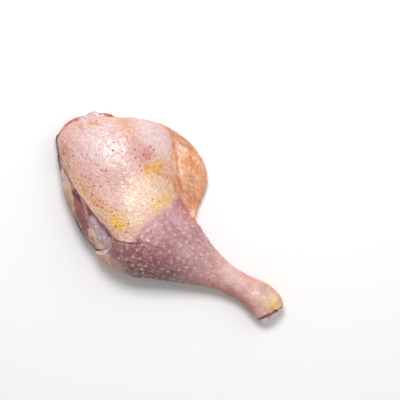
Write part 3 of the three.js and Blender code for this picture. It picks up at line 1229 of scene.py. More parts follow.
@dataclass
class Skin:
    """The sheet of skin, with its creases, follicles, fat and free edges."""

    pore_spacing: float = 4.0
    bump_spacing: float = 4.7
    crowding: float = 0.5
    pore_tones: Plan = (0.95, 0.65)
    pores_from: float = 0.9
    spacing_swing: float = 0.2
    follicle_margin: float = 2.2
    candidates: int = 14000
    pick_seed: int = 3
    order_seed: int = 11
    outside_from: float = 1.35
    cut_from: float = 0.65
    underside: float = -0.35
    top_facing: Plan = (-0.2, 0.25)
    relief_margin: Plan = (0.2, 2.5)
    border_blur: float = 2.6
    border_drift: float = 1.4
    crease_blur: float = 1.0
    lap_blur: float = 0.3
    lap_span: Plan = (-30, 20)
    crease_end: float = 15.0
    flap_reach: float = 40.0
    flap_from: float = 15.0
    flap_end: Plan = (8, 16.5)
    flap_sway: float = 0.8
    flap_fade: tuple[Plan, Plan] = ((-42, -8), (6.5, 1.8))
    thigh_shape: float = 1.1
    ring_drop: float = 0.8
    pleat_drop: float = 0.5
    shank_from: Plan = (30, 56)
    shank_drift: float = 5.0
    ankle: Plan = (64, 80)
    ankle_turn: float = 0.7
    drum_height: float = 11.0
    drum_radius: float = 15.0
    fall_back: float = 1.4
    evenness: float = 0.65
    tint_drift: float = 1.8
    tint_fringe: float = 1.6
    late_fringe: float = 0.9
    low_shade: float = 0.75
    low_drift: float = 0.15
    low_facing: Plan = (0.25, 0.95)
    low_fade: Plan = (30, 70)
    crease_wander: float = 0.8
    swell_height: float = 0.45
    dimple_height: float = 0.2
    ring_depth: float = 0.24
    pleat_depth: float = 0.4
    fold_depth: float = 0.16
    least_pored: float = 0.7
    flap_calm: float = 0.35
    pore_margin: Plan = (1.0, 2.5)
    bump_margin: Plan = (1.0, 3.0)
    bump_fade: Plan = (34, 54)
    bump_height: float = 0.5
    bump_radius: float = 1.2
    pit_depth: float = 0.1
    pit_radius: float = 0.9
    least_tone: float = 0.5
    tone_gain: float = 0.7
    low_creases: int = 6
    low_from: float = -30.0
    low_gap: float = 2.2
    edge_fade: Plan = (0.5, 6)
    edge_squash: Place = (1, 1, 0.25)
    edge_sway: float = 0.8
    edge_tear: float = 1.8
    torn_from: Plan = (86, 94)
    stray: Uneven = Uneven((9, 9, 9), 1)
    ragged: Uneven = Uneven((3, 3, 3), 2)
    scatter: Uneven = Uneven((8, 8, 8), 14, 1)
    thigh_colour: Mottling = Mottling(Hue.PINK, Hue.ROSE, 0.5, 0.9, Uneven((16, 12, 12), 21, 2))
    flap_colour: Mottling = Mottling(Hue.APRICOT, Hue.SAND, 0.2, 0.6, Uneven((9, 4, 4), 22))
    drum_colour: Mottling = Mottling(Hue.MAUVE, Hue.LILAC, 0.3, 0.9, Uneven((11, 7, 7), 23))
    shank_colour: Mottling = Mottling(Hue.SHANK, Hue.ROSE, 0.3, 1.1, Uneven((7, 4, 4), 24))
    wander: Uneven = Uneven((7, 7, 7), 4, 2)
    swelling: Uneven = Uneven((15, 12, 12), 5, 2)
    dimpling: Uneven = Uneven((5, 4, 4), 6, 2)
    sway_x: Uneven = Uneven((8, 8, 8), 51, 2)
    sway_y: Uneven = Uneven((8, 8, 8), 52, 2)
    tearing: Uneven = Uneven((1, 5, 5), 53, 2)
    rings: Streaks = Streaks(2.6, 4, 30)
    folds: Streaks = Streaks(2.4, 9, 31)
    thigh_top: Plan = (-62, 6)
    drum_middle: Sequence[Plan] = ((-20, -14), (20, -11), (50, 1), (70, 6), (95, 12))
    lap: Sequence[Plan] = (
        (-98.3, -13.4), (-90.3, -19.9), (-82.3, -23), (-72.3, -25), (-62.3, -29.6), (-50.3, -31.2),
        (-40.3, -32.1), (-28.3, -32.4), (-18.3, -33.2), (-11.3, -30.4), (-7.3, -25.9),
    )
    border: Sequence[Plan] = (
        (-5.5, -27), (-7.2, -25.4), (-9.5, -16), (-9.2, -8), (-8.7, 0), (-6.8, 11), (-9, 17),
        (-9.4, 19.1), (-9, 60),
    )
    flap_crease: Sequence[Plan] = (
        (-51.4, 46.2), (-42.8, 45), (-37.4, 43.1), (-32.6, 37.9), (-27.3, 32), (-19.4, 27.6),
        (-10.8, 22.8), (-2.6, 18.6),
    )
    fold_line: Sequence[Plan] = (
        (-46, 46), (-42.3, 44.5), (-37.6, 42.3), (-33.3, 39.7), (-29, 36.6), (-25, 33.2), (-20.4, 29.9),
        (-15.8, 26.7), (-9.8, 22.8), (-5, 20),
    )
    drum_crease: Sequence[Plan] = (
        (-22, 24.5), (-10, 20.4), (-2.6, 18.4), (5, 16.8), (12.2, 15.3), (20, 13),
    )
    ridge_line: Sequence[Plan] = ((-39, 46), (-33, 43), (-28, 39.2), (-24, 34.4), (-19, 31))
    flap_fold: Sequence[Plan] = ((-21, 29), (-16, 26.4), (-11.9, 23.9))
    strong_pores: Sequence[Plan] = (
        (-67, 12), (-59, 13), (-80, -15), (-85, -18), (-58, -7), (-55, -5), (-59, -17), (-54, -18),
        (-50, -16), (-51, -23), (-43, -27), (-40, -24), (-23, -27), (-19, -19), (-15, -24), (-21, -4),
        (-20, 3), (-15, 7), (-29, 19), (-53, 20), (-49, 17), (-45, 22), (-41, 22), (-42, 15), (-38, 13),
        (-48, 30), (-43, 29), (-92, -13), (-77, -21), (-62, 9),
    )
    faint_pores: Sequence[Plan] = (
        (-73, 17), (-73, 13), (-70, 9), (-67, 8), (-61, 3), (-70, -2), (-68, -6), (-73, -6), (-63, -7),
        (-72, -10), (-62, -15), (-57, -12), (-57, -14), (-65, -21), (-64, -18), (-65, -23), (-64, -26),
        (-62, -24), (-59, -25), (-56, -24), (-55, -27), (-51, -25), (-45, -27), (-42, -21), (-39, -20),
        (-29, -23), (-30, -30), (-24, -32), (-32, -18), (-26, -14), (-38, -7), (-36, -3), (-30, 5),
        (-15, 2), (-10, 5), (-28, 1), (-35, -8), (-31, -12), (-27, -6), (-25, 3), (-33, 20), (-32, 24),
        (-27, 26), (-26, 20), (-30, 15), (-47, 24), (-36, 7), (-68, -14), (-66, -19), (-78, -20),
        (-91, -2), (-94, -10), (-85, 14), (-46, 5), (-63, 16), (-80, -8), (-86, -8),
    )
    fat_hues: Sequence[Hue] = (Hue.YELLOW, Hue.BRIGHT_YELLOW, Hue.HONEY, Hue.ORANGE, Hue.TAN)
    dense: Sequence[Mark] = (Patch((-58, -23), (24, 6), 1.0, -8), Patch((-28, -25), (14, 7), 0.8))
    pored: Sequence[Mark] = (Patch((-45, 22), (11, 9), 0.6), Patch((-64, 4), (13, 13), 0.3))
    pored_band: Sequence[Mark] = (Patch((-54, -23), (26, 7), 0.5, -6), Patch((-24, -24), (12, 7), 0.4))
    thigh_tints: Sequence[Tint] = (
        spot(Hue.ROSE, (-62, -17), (20, 5), 0.45, -12),
        spot(Hue.ROSE, (-47, 2), (5, 12), 0.3),
        spot(Hue.PEACH, (-93, -3), (6, 13), 0.7),
        spot(Hue.RED_FLUSH, (-90, 3.6), (4, 3), 0.5),
        spot(Hue.RED_FLUSH, (-86, -16), (8, 5), 0.55, -30),
        spot(Hue.RED_FLUSH, (-84.9, -18), (1.4, 1.4), 0.9),
        # Painted highlight: a broad pale patch with a whiter core where the thigh's top catches the
        # light.
        spot(Hue.PEARL, (-70, 8), (18, 15), 0.9),
        spot(Hue.FAT_WHITE, (-65, 6), (9, 7), 0.3),
        spot(Hue.ROSE, (-64, 26), (11, 6), 0.85),
        spot(Hue.ROSE, (-66, 17), (6, 4), 0.4),
        spot(Hue.ROSE, (-54, 18), (6, 5), 0.55),
        spot(Hue.PEARL, (-48, 34), (20, 8), 0.8),
        spot(Hue.SAND, (-76, 24), (11, 3), 0.6),
        spot(Hue.APRICOT, (-66, 27), (8, 3.5), 0.5),
        spot(Hue.PEACH, (-84, 13), (7, 3), 0.7, 45),
        line(Hue.APRICOT, 0.8, 0.6, (-88, 9.8), (-84.1, 11.9), (-80.9, 14.6)),
        line(Hue.APRICOT, 0.7, 0.5, (-87.3, 13), (-84.9, 14.6), (-82.4, 16.1)),
        spot(Hue.ROSE, (-45, 22), (10, 9), 0.6),
        spot(Hue.RED_FLUSH, (-44.5, 23), (5, 5), 0.75),
        spot(Hue.ROSE, (-35, 39), (6, 4), 0.6, -45),
        line(Hue.SALMON, 1.2, 0.3, (-42, 42.5), (-36, 39), (-31, 34), (-27, 29)),
        spot(Hue.PEACH, (-30, 33), (7, 3), 0.6, -45),
        spot(Hue.CREAM, (-27, 4), (13, 12), 1.0),
        spot(Hue.CREAM, (-26, -9), (10, 8), 0.6),
        spot(Hue.SAND, (-24, 16), (9, 6), 0.6),
        spot(Hue.SAND, (-19, -17), (11, 9), 0.85),
        spot(Hue.BUTTER, (-33.5, 18.5), (6, 7), 0.85, -15),
        spot(Hue.YELLOW, (-31, 23), (3.6, 2.6), 0.9, 40),
        line(Hue.OCHRE, 0.6, 0.6, (-39, 13.5), (-37.6, 17), (-36, 21), (-36.6, 26)),
        line(Hue.OCHRE, 0.6, 0.6, (-31, 19), (-26, 22), (-20.5, 24.4), (-13, 24)),
        line(Hue.OCHRE, 0.5, 0.5, (-34, 25), (-30.5, 27.5), (-26, 28.5)),
        spot(Hue.YELLOW, (-34.5, 15.5), (3.4, 2.4), 0.6),
        spot(Hue.ORANGE, (-39, 17.5), (3, 2.4), 0.6),
        line(Hue.YELLOW, 1.1, 0.8, (-37, 24.8), (-35.6, 28.3), (-30.7, 29.4), (-28.2, 30.9)),
        line(Hue.YELLOW, 1.7, 0.7, (-38, 17), (-33, 20.9), (-32.6, 25.4)),
        line(Hue.OCHRE, 0.7, 0.5, (-38, 16), (-34.5, 19), (-33.8, 23)),
        line(Hue.ORANGE, 0.9, 0.8, (-33, 17.6), (-27.1, 21), (-22.6, 21.5), (-18.2, 24.2)),
        line(Hue.BUTTER, 2.6, 0.5, (-26, 27), (-18, 22), (-10, 19), (-6, 17)),
        spot(Hue.ORANGE, (-18, 24.5), (8, 2.6), 0.55, -20),
        spot(Hue.BUTTER, (-14, 7), (6.5, 9), 0.85),
        spot(Hue.YELLOW, (-12, 11), (4, 4), 0.4),
        spot(Hue.SAND, (-14, -8), (5, 8), 0.5),
        spot(Hue.SAND, (-58, -25.5), (22, 4), 0.8, -6),
        spot(Hue.HONEY, (-58, -25), (16, 2.2), 0.45, -8),
        spot(Hue.SAND, (-42, -21), (10, 4), 0.5),
        spot(Hue.ORANGE, (-42, -24.5), (5, 2.4), 0.55),
        spot(Hue.BUTTER, (-25.5, -23.5), (9, 5.5), 0.9),
        spot(Hue.YELLOW, (-26, -24), (6, 3.4), 0.6),
        spot(Hue.BRIGHT_YELLOW, (-27.6, -23.6), (3, 2.6), 0.95),
        line(Hue.BRIGHT_YELLOW, 0.9, 0.7, (-27, -25), (-22.8, -24), (-18.3, -21.9), (-16, -21)),
        line(Hue.BRIGHT_YELLOW, 0.8, 0.5, (-24, -27), (-21.5, -24.6), (-21, -21)),
        line(Hue.HONEY, 1.6, 0.5, (-40, -30), (-32, -31), (-24, -31.5), (-16, -31)),
        # Darker along the thigh skin's rolled lap edge, painted shade.
        line(
            Hue.HONEY, 0.8, 0.4, (-98, -14), (-82, -22.2), (-70, -25.5), (-61, -29.4), (-50, -30.8),
            (-38, -32),
        ),
    )
    flap_tints: Sequence[Tint] = (
        # Painted highlights on the ridge beside the flap's crease.
        spot(Hue.CREAM, (-29, 43.5), (7, 3.5), 0.7, -35),
        spot(Hue.CREAM, (-20, 32), (6, 3), 0.5, -35),
        spot(Hue.SAND, (-12, 34), (10, 8), 0.35),
        spot(Hue.ORANGE, (-20, 42.5), (5, 2.6), 0.9),
        spot(Hue.OCHRE, (-21, 42.6), (2.6, 1.4), 0.7, -30),
        spot(Hue.ORANGE, (-13, 41), (5, 3), 0.75),
        line(Hue.OCHRE, 0.6, 0.8, *flap_fold),
        line(Hue.OCHRE, 0.5, 0.4, (-32, 38), (-26, 33.6), (-20, 30.4)),
        line(Hue.RED_FLUSH, 0.6, 0.8, (-14, 31), (-8, 27.6), (-2, 23.6), (3, 20)),
        line(Hue.RED_FLUSH, 0.5, 0.7, (-11, 34.6), (-5, 30.4), (1, 26)),
        line(Hue.SAND, 0.8, 0.6, (-12, 33), (-6, 29), (0, 24.6)),
        line(Hue.SAND, 0.8, 0.6, (-18, 31.6), (-12, 28.6), (-6, 25)),
        spot(Hue.RED_FLUSH, (-12.3, 34.6), (1.0, 0.8), 0.8),
        spot(Hue.RED_FLUSH, (-4.5, 27.2), (1.2, 0.9), 0.8),
        spot(Hue.RED_FLUSH, (-21.5, 33.4), (1.0, 0.8), 0.7),
        spot(Hue.ORANGE, (-3, 37), (4, 6), 0.4),
        line(Hue.ORANGE, 1.4, 0.7, *flap_fold),
        spot(Hue.ORANGE, (3.5, 25), (3, 5), 0.8),
        spot(Hue.SALMON, (3, 20), (7, 3.4), 0.35),
        spot(Hue.ORANGE, (0, 22), (7, 3), 0.4),
        spot(Hue.ROSE, (-3.75, 24.2), (2.2, 1.8), 0.7),
        # The turned-under skin along the flap's top edge: browner in its own colour, and darkened further
        # as painted shadow.
        line(Hue.HONEY, 2.8, 0.8, (-56, 46), (-46, 47.4), (-38, 47.6), (-31, 49), (-20, 50.2)),
        line(Hue.TAN, 1.6, 0.7, (-52, 47), (-44, 48.6), (-38, 49), (-28, 50.4)),
        line(Hue.HONEY, 1.4, 0.6, (-20, 48.8), (-8, 46.4), (1, 38), (6, 28)),
    )
    drum_tints: Sequence[Tint] = (
        # Lighter lilac on the drumstick's top, partly its own tone and partly a painted sheen.
        spot(Hue.LILAC, (-1, 8), (10, 8), 0.9),
        spot(Hue.LILAC, (-6, -4), (6, 6), 0.6),
        line(Hue.VEIL, 1.4, 0.4, (-6, 4), (-6.4, -4), (-6, -13), (-5.6, -22)),
        line(Hue.VEIL, 1.0, 0.35, (-2, -8), (-1.6, -15), (-2, -22)),
        spot(Hue.VEIL, (10, 9), (4, 3), 0.4),
        spot(Hue.VEIL, (23, -3), (6.5, 5), 0.5, 20),
        spot(Hue.VEIL, (33, -8), (6, 3), 0.4, 25),
        # A lighter lilac spot on the drumstick's lower half, partly its own tone and partly a painted
        # sheen.
        spot(Hue.LILAC, (21, -22.5), (6, 4), 0.5),
        spot(Hue.RED_FLUSH, (-3.5, -26), (4, 1.4), 0.4, 60),
        spot(Hue.PLUM, (6, 2), (5, 4), 0.35),
        # Painted shade: the drumstick's low side, darker plum.
        spot(Hue.PLUM, (-10, -30), (22, 9), 0.85),
        spot(Hue.PLUM, (14, -24), (22, 9), 0.8, 24),
        spot(Hue.PLUM, (7, -6), (9, 5), 0.4),
        spot(Hue.GREY_ROSE, (25, -4), (6, 4), 0.7),
        spot(Hue.LILAC, (35, 2), (8, 6), 0.75),
        spot(Hue.SALMON, (8, 14.5), (8, 2.6), 0.5),
        spot(Hue.GREY_ROSE, (36, 9), (8, 4), 0.6),
        spot(Hue.RED_FLUSH, (7.5, -35), (3, 2), 0.55),
    )
    shank_tints: Sequence[Tint] = (
        # Painted shade: the shank's low side, darker towards its lower edge.
        line(Hue.SHANK_DUSK, 3.8, 0.85, (34, -16), (48, -9.6), (60, -4), (74, 0.2), (92, 1)),
        line(Hue.BROWN, 2.2, 0.5, (30, -21), (46, -14), (60, -6.6), (74, -1.8), (92, -0.4)),
        # Painted highlight along the lit top of the shank.
        spot(Hue.PEARL, (57, 7), (14, 6), 0.5),
        spot(Hue.SALMON, (58, 14), (14, 2.4), 0.35, 10),
        # Painted highlight on the heel.
        spot(Hue.PEARL, (80, 10.5), (6, 3), 0.6),
        spot(Hue.GREY_ROSE, (82, 15), (8, 4), 0.75),
        spot(Hue.SAND, (89, 13.5), (7, 6), 0.6),
        spot(Hue.BUTTER, (93, 15.5), (5.4, 5), 0.9),
        spot(Hue.BRIGHT_YELLOW, (93, 14), (2.6, 2.2), 0.8),
        spot(Hue.ORANGE, (93.6, 13), (1.2, 1.0), 0.7),
        line(Hue.HONEY, 2.0, 0.9, (76, 20), (84, 21.8), (92, 22), (99, 18), (99.6, 14)),
    )
    late_tints: Sequence[Tint] = (
        # Painted highlight along the raised ridge beside the flap's crease.
        line(Hue.CREAM, 0.7, 0.7, *ridge_line),
        line(Hue.OCHRE, 0.5, 0.6, *fold_line),
        line(Hue.RED_FLUSH, 0.4, 0.8, (-14.3, 26.2), (-8, 24.6), (-3, 23), (0.6, 21.5)),
        line(Hue.TAN, 0.4, 0.6, (-9, 28.4), (-5.8, 25.2), (1, 22.6), (6, 21)),
        line(Hue.RED_FLUSH, 0.4, 0.7, (-8, 32), (-2, 28.4), (3, 24)),
        # Painted shadow under the lap's tip and along its lower edge.
        line(Hue.TAN, 0.9, 0.6, (-24, -33.4), (-18, -34.2), (-12, -32), (-7, -28)),
        spot(Hue.BROWN, (-15, -33), (5, 1.8), 0.5),
        # Painted shade along the drumstick's lower edge.
        line(Hue.DEEP, 2.6, 0.4, (-14, -38), (-4, -40), (6, -38.4), (16, -33.4), (28, -26.4)),
        spot(Hue.ROSE, (-11, -49), (16, 5), 0.8, 14),
        spot(Hue.HONEY, (-12, -48.3), (12, 2.6), 0.8, 14),
        spot(Hue.ORANGE, (-15, -50.4), (5, 1.2), 0.5, 12),
        line(Hue.SALMON, 1.0, 0.5, (-18, -50), (-9, -48.6), (-2, -46.4)),
        spot(Hue.PEACH, (-13, -46.4), (3, 1.4), 0.6),
        line(Hue.BROWN, 1.5, 0.6, (-22, -53.6), (-12, -52.6), (-2, -50), (6, -47)),
        spot(Hue.BROWN, (-5, -46), (3, 1.2), 0.5),
        line(Hue.FAT, 1.3, 0.8, (-25.5, -49.8), (-20.3, -49), (-16, -45.6), (-16.8, -41), (-20.5, -35)),
        line(
            Hue.FAT_WHITE, 0.6, 1.0, (-26, -51.6), (-21.9, -50.2), (-18, -48.4), (-15.4, -45.6),
            (-16.6, -42),
        ),
    )
    creases: Sequence[Groove] = (
        Groove(flap_crease, 0.4, 1.4, 0.2, 0.3, tint=0.1),
        Groove(drum_crease, 1.1, 1.1, 0.2, 0.1, tint=0.6),
        Groove(ridge_line, -0.4, 0.7, tint=0.0),
        Groove(
            [(-52, 45.6), (-44, 46.4), (-36, 45.6), (-29, 47.6), (-21, 49.4)],
            0.8, 0.8, 0.2, 0.2, tint=0.6,
        ),
        Groove(fold_line, 0.5, 0.5, 0.2, 0.1, tint=0.5),
        Groove([(-24, 30), (-16.25, 26.4), (-10, 22.8), (-5, 20)], 0.5, 0.6, 0.2, 0.1, tint=0.35),
        Groove([(-10, 31.6), (-8.1, 30.1), (-3.75, 28.9), (2.5, 25.1)], 0.4, 0.5, 0.1, 0.1, tint=0.25),
        Groove([(-15, 35.4), (-13.75, 34.5), (-10, 32.6), (-7, 31.6)], 0.35, 0.5, 0.1, 0.1, tint=0.25),
        Groove([(-8.5, 30), (-6.9, 28.9), (1.25, 22.6), (4, 20.4)], 0.4, 0.5, 0.1, 0.1, tint=0.25),
        Groove(
            [(-91, 8), (-88, 9.8), (-84.1, 11.9), (-80.9, 14.6), (-79, 17)],
            0.6, 0.7, 0.4, 0.1, tint=0.2,
        ),
        Groove(
            [(-89, 12), (-87.3, 13), (-84.9, 14.6), (-82.4, 16.1), (-80, 19)],
            0.5, 0.6, 0.2, 0.2, tint=0.2,
        ),
        Groove(
            [(-34, -32.6), (-25, -33.4), (-17.8, -33.9), (-12.6, -31.6), (-7, -27.4), (-1, -21)],
            0.9, 0.7, 0.6, tint=0.6,
        ),
        Groove([(-9, -24), (-16, -18), (-24, -10)], 0.25, 0.8, 0.1, 0.1, tint=0.05),
        Groove([(-7, -25), (2, -19), (14, -14)], 0.3, 0.9, 0.2, 0.1, tint=0.1),
    )
    piece: bpy.types.Object = field(init=False)

    def model(self) -> None:
        """Makes the skin's mesh, shapes it and paints it."""
        self.piece = copy_of_node("skin", "skin_sheet")
        self._sort_faces()
        refine(self.piece, 2)
        upward = face_values(self.piece, "normal")[:, 2] > self.underside
        divide_faces(self.piece, (self._sides() != Side.INSIDE) & upward)
        self.surface = Surface(self.piece)
        self._measure()
        self._lay_out()
        self._place_follicles()
        self._paint()
        self._mark()
        self._shape()
        self._fray()
        self.surface.finish()
        self.follicles.store(self.piece)

    def dress(self, outside: bpy.types.Material, fat: bpy.types.Material) -> None:
        """Gives the skin its materials: the outside one, and fat on the inner side and the cut.

        Args:
            outside: The material of the outer side.
            fat: The material of the inner side and of the cut edge.
        """
        side = self._sides()
        self.piece.data.materials.clear()
        for material in (outside, fat, fat):
            self.piece.data.materials.append(material)
        self.piece.data.polygons.foreach_set("material_index", side.astype(np.int32))

    def _sides(self) -> np.ndarray:
        """Reads which side each face is on."""
        return read_numbers(self.piece.data.polygons, "material_index")

    def _sort_faces(self) -> None:
        """Tells the outer, inner and cut faces apart by their distance from the flesh."""
        away = gap_to(tree_of(frame["nodes"]["meat"]), face_values(self.piece, "center"))
        inner = np.where(away > self.cut_from, Side.CUT, Side.INSIDE)
        side = np.where(away > self.outside_from, Side.OUTSIDE, inner)
        for name in ("skin_outside", "skin_inside", "skin_cut"):
            self.piece.data.materials.append(bpy.data.materials.new(name + "_sketch"))
        self.piece.data.polygons.foreach_set("material_index", side.astype(np.int32))

    def _measure(self) -> None:
        """Measures how far each vertex lies from the cut edge and which way it faces."""
        surface, side = self.surface, self._sides()
        self.from_edge = gap_to(tree_of(self.piece, side == Side.CUT), surface.points * MM)
        self.outside = np.zeros(len(surface.points), bool)
        for i in np.flatnonzero(side == Side.OUTSIDE):
            self.outside[list(self.piece.data.polygons[int(i)].vertices)] = True
        self.top = self.outside * smooth(surface.normals[:, 2], *self.top_facing)
        self.inland = smooth(self.from_edge, *self.relief_margin) * self.outside

    def _lay_out(self) -> None:
        """Works out where the drumstick's and the flap's skin lie and how their wrinkles run."""
        points = self.surface.points
        x, y, z = points.T
        self.drift = self.stray.at(points)
        self.fringe = self.ragged.at(points)
        border, crease = np.array(self.border), np.array(self.drum_crease)
        beyond = x - np.interp(y, border[:, 1], border[:, 0])
        beyond = beyond + self.border_drift * self.drift + self.fringe
        under = np.where(x > self.crease_end, 1, np.interp(x, crease[:, 0], crease[:, 1]) - y)
        past_lap = smooth(np.interp(x, *np.array(self.lap).T) - y, -self.lap_blur, self.lap_blur)
        past_lap = past_lap * (x > self.lap_span[0]) * (x < self.lap_span[1])
        drum = smooth(beyond, -self.border_blur, self.border_blur)
        drum = drum * smooth(under, -self.crease_blur, self.crease_blur)
        self.drum = np.maximum(drum, past_lap)
        flap_edge = curve_through([*self.flap_crease, self.flap_end])
        near, aside, _ = off_curve(points, flap_edge, self.flap_reach)
        across = np.full(len(points), -self.flap_reach)
        across[near] = aside
        across = np.where(y > self.flap_from, across, -self.flap_reach)
        inner = across - self.flap_sway + self.flap_sway * self.fringe
        self.flap = smooth(inner / np.interp(x, *self.flap_fade), -1, 1) * (1 - self.drum)
        off_top = np.hypot(x - self.thigh_top[0], self.thigh_shape * (y - self.thigh_top[1]))
        self.ring = off_top - self.ring_drop * z
        crosswise = self.ankle_turn * smooth(x, *self.ankle)
        self.lay = self._round(points) * (1 - crosswise) + (x - sum(self.ankle) / 2) * crosswise
        self.across = across - self.pleat_drop * z
        self.shank = smooth(x + self.shank_drift * self.drift, *self.shank_from)

    def _round(self, points: np.ndarray) -> np.ndarray:
        """Gives each place's way round the drumstick and shank, in millimetres from the top.

        Args:
            points: Places in millimetres.

        Returns:
            The arc length, positive towards the flap, which falls back to 0 beneath.
        """
        middle = np.interp(points[:, 0], *np.array(self.drum_middle).T)
        turn = np.arctan2(points[:, 1] - middle, points[:, 2] - self.drum_height)
        back = self.fall_back * (np.pi - np.abs(turn))
        return self.drum_radius * np.sign(turn) * np.minimum(np.abs(turn), back)

    def _place_follicles(self) -> None:
        """Scatters the follicles, the strong ones of the thigh at their own places."""
        points = self.surface.points
        allowed = np.flatnonzero(self.outside & (self.from_edge > self.follicle_margin))
        shuffled = np.random.default_rng(self.pick_seed).permutation(len(allowed))
        picked = allowed[shuffled[: self.candidates]]
        upper = picked[self.top[picked] > self.pores_from]
        pores = [*self.strong_pores, *self.faint_pores]
        first = [int(((points[upper, :2] - pore) ** 2).sum(1).argmin()) for pore in pores]
        index_of = {int(vertex): k for k, vertex in enumerate(picked)}
        room = np.where(self.drum[picked] > 0.5, self.bump_spacing, self.pore_spacing)
        room = room * (1 + self.spacing_swing * self.scatter.at(points[picked]))
        room = room * (1 - self.crowding * blend_marks(self.dense, points[picked]))
        marked, order = np.unique([index_of[int(upper[k])] for k in first], return_index=True)
        tones = np.where(order < len(self.strong_pores), *self.pore_tones)
        self.follicles = Follicles.scattered(points[picked], room, marked, tones, self.order_seed)

    def _paint(self) -> None:
        """Paints the skin's colours by place, painted shade and painted highlights among them."""
        surface, points = self.surface, self.surface.points
        x = points[:, 0]
        off = [self.tint_drift * self.drift + self.fringe, self.tint_fringe * self.fringe, 0 * x]
        self.warped = points + np.stack(off, 1)
        plain = Hue.PINK.light
        thigh = self.evenness * plain + (1 - self.evenness) * self.thigh_colour.at(points)
        thigh = lay_tints(thigh, self.thigh_tints, self.warped)
        flap = lay_tints(self.flap_colour.at(points), self.flap_tints, self.warped)
        drum = lay_tints(self.drum_colour.at(points), self.drum_tints, self.warped)
        shank = lay_tints(self.shank_colour.at(points), self.shank_tints, self.warped)
        # Painted shade: the drumstick darkens towards DEEP where it faces the low side, fading out
        # towards the shank.
        low = smooth(-surface.normals[:, 1] + self.low_drift * self.drift, *self.low_facing)
        low = low * (1 - smooth(x, *self.low_fade)) * self.drum
        drum = lay_over(lay_over(drum, Hue.DEEP.light, self.low_shade * low), shank, self.shank)
        colours = lay_over(lay_over(thigh, flap, self.flap), drum, self.drum)
        late = points + self.late_fringe * self.fringe[:, None]
        surface.store_tint(lay_tints(colours, self.late_tints, late))

    def _mark(self) -> None:
        """Keeps the masks and values that tell the material where it changes."""
        points = self.surface.points
        upper_skin = 1 - self.drum
        tints = (*self.thigh_tints, *self.flap_tints)
        marks = [*(tint.where for tint in tints if tint.hue in self.fat_hues), *self.dense]
        pored = self.least_pored + blend_marks(self.pored, points) + blend_marks(self.pored_band, points)
        pored = (pored - self.flap_calm * self.flap) * upper_skin
        pored = pored * smooth(self.from_edge, *self.pore_margin)
        self.bumpy = self.drum * (1 - smooth(points[:, 0], *self.bump_fade))
        self.bumpy = self.bumpy * smooth(self.from_edge, *self.bump_margin)
        values = {
            "warm": np.clip(blend_marks(marks, self.warped) + self.flap, 0, 1),
            "pored": np.clip(pored, 0, 1),
            "bumpy": self.bumpy,
            "thigh": upper_skin * (1 - self.flap),
            "loose": upper_skin * self.flap,
            "shank": self.drum * self.shank,
            "ring": self.ring,
            "lay": self.lay,
            "across": self.across,
        }
        for name, value in values.items():
            self.surface.store(name, value)

    def _shape(self) -> None:
        """Raises and presses the skin: folds, creases, follicles and wrinkles, and keeps the painted
        shade of the creases.
        """
        surface, points = self.surface, self.surface.points
        wander = self.crease_wander * self.wander.at(points)
        dark = np.zeros(len(points))
        for groove in (*self.creases, *self._low_creases()):
            height, depth = groove.press(points, wander)
            surface.raise_by(height * self.top * self.inland)
            # Painted shade: the bottoms of the creases on the skin's top, kept as the crease mask that
            # darkens the colour.
            dark = np.maximum(dark, groove.tint * depth * self.top)
        surface.store("crease", dark)
        swell = self.swell_height * self.swelling.at(points)
        swell = swell + self.dimple_height * self.dimpling.at(points)
        upper_skin = 1 - self.drum
        ribs = self.ring_depth * self.rings.at(points, self.ring) * upper_skin * (1 - self.flap)
        ribs += self.pleat_depth * self.folds.at(points, self.across) * self.flap * upper_skin
        ribs += self.fold_depth * self.folds.at(points, self.lay) * self.drum
        nearest, distance = self.follicles.nearest(points)
        tone = self.least_tone + self.tone_gain * self.follicles.tone[nearest]
        bump = np.exp(-((distance / self.bump_radius) ** 2)) * self.bump_height * tone * self.bumpy
        pit = np.exp(-((distance / self.pit_radius) ** 2)) * self.pit_depth * tone * upper_skin
        surface.raise_by((swell + ribs + bump - pit) * self.inland)

    def _low_creases(self) -> list[Groove]:
        """Draws the creases that run side by side along the drumstick's low edge.

        Returns:
            The creases.
        """
        creases = []
        for k in range(self.low_creases):
            step = self.low_gap * k
            low = self.low_from - step
            path = [(-8 + 2 * k, low - 8 + step), (6, low - 1.2 * k + 1), (20, low + 6), (34, low + 13)]
            creases.append(Groove(path, 0.45, 0.6, 0.1, 0.1, tint=0.3))
        return creases

    def _fray(self) -> None:
        """Lets the free edges sway in plan, and tears the one at the hock."""
        surface, points = self.surface, self.surface.points
        edge = 1 - smooth(self.from_edge, *self.edge_fade)
        flat = points * self.edge_squash
        sway = np.stack([self.sway_x.at(flat), self.sway_y.at(flat), 0 * edge], 1)
        surface.shift += self.edge_sway * sway * edge[:, None]
        torn = np.abs(self.tearing.at(points * (0, 1, 1)))
        surface.shift[:, 0] -= self.edge_tear * torn * smooth(points[:, 0], *self.torn_from)


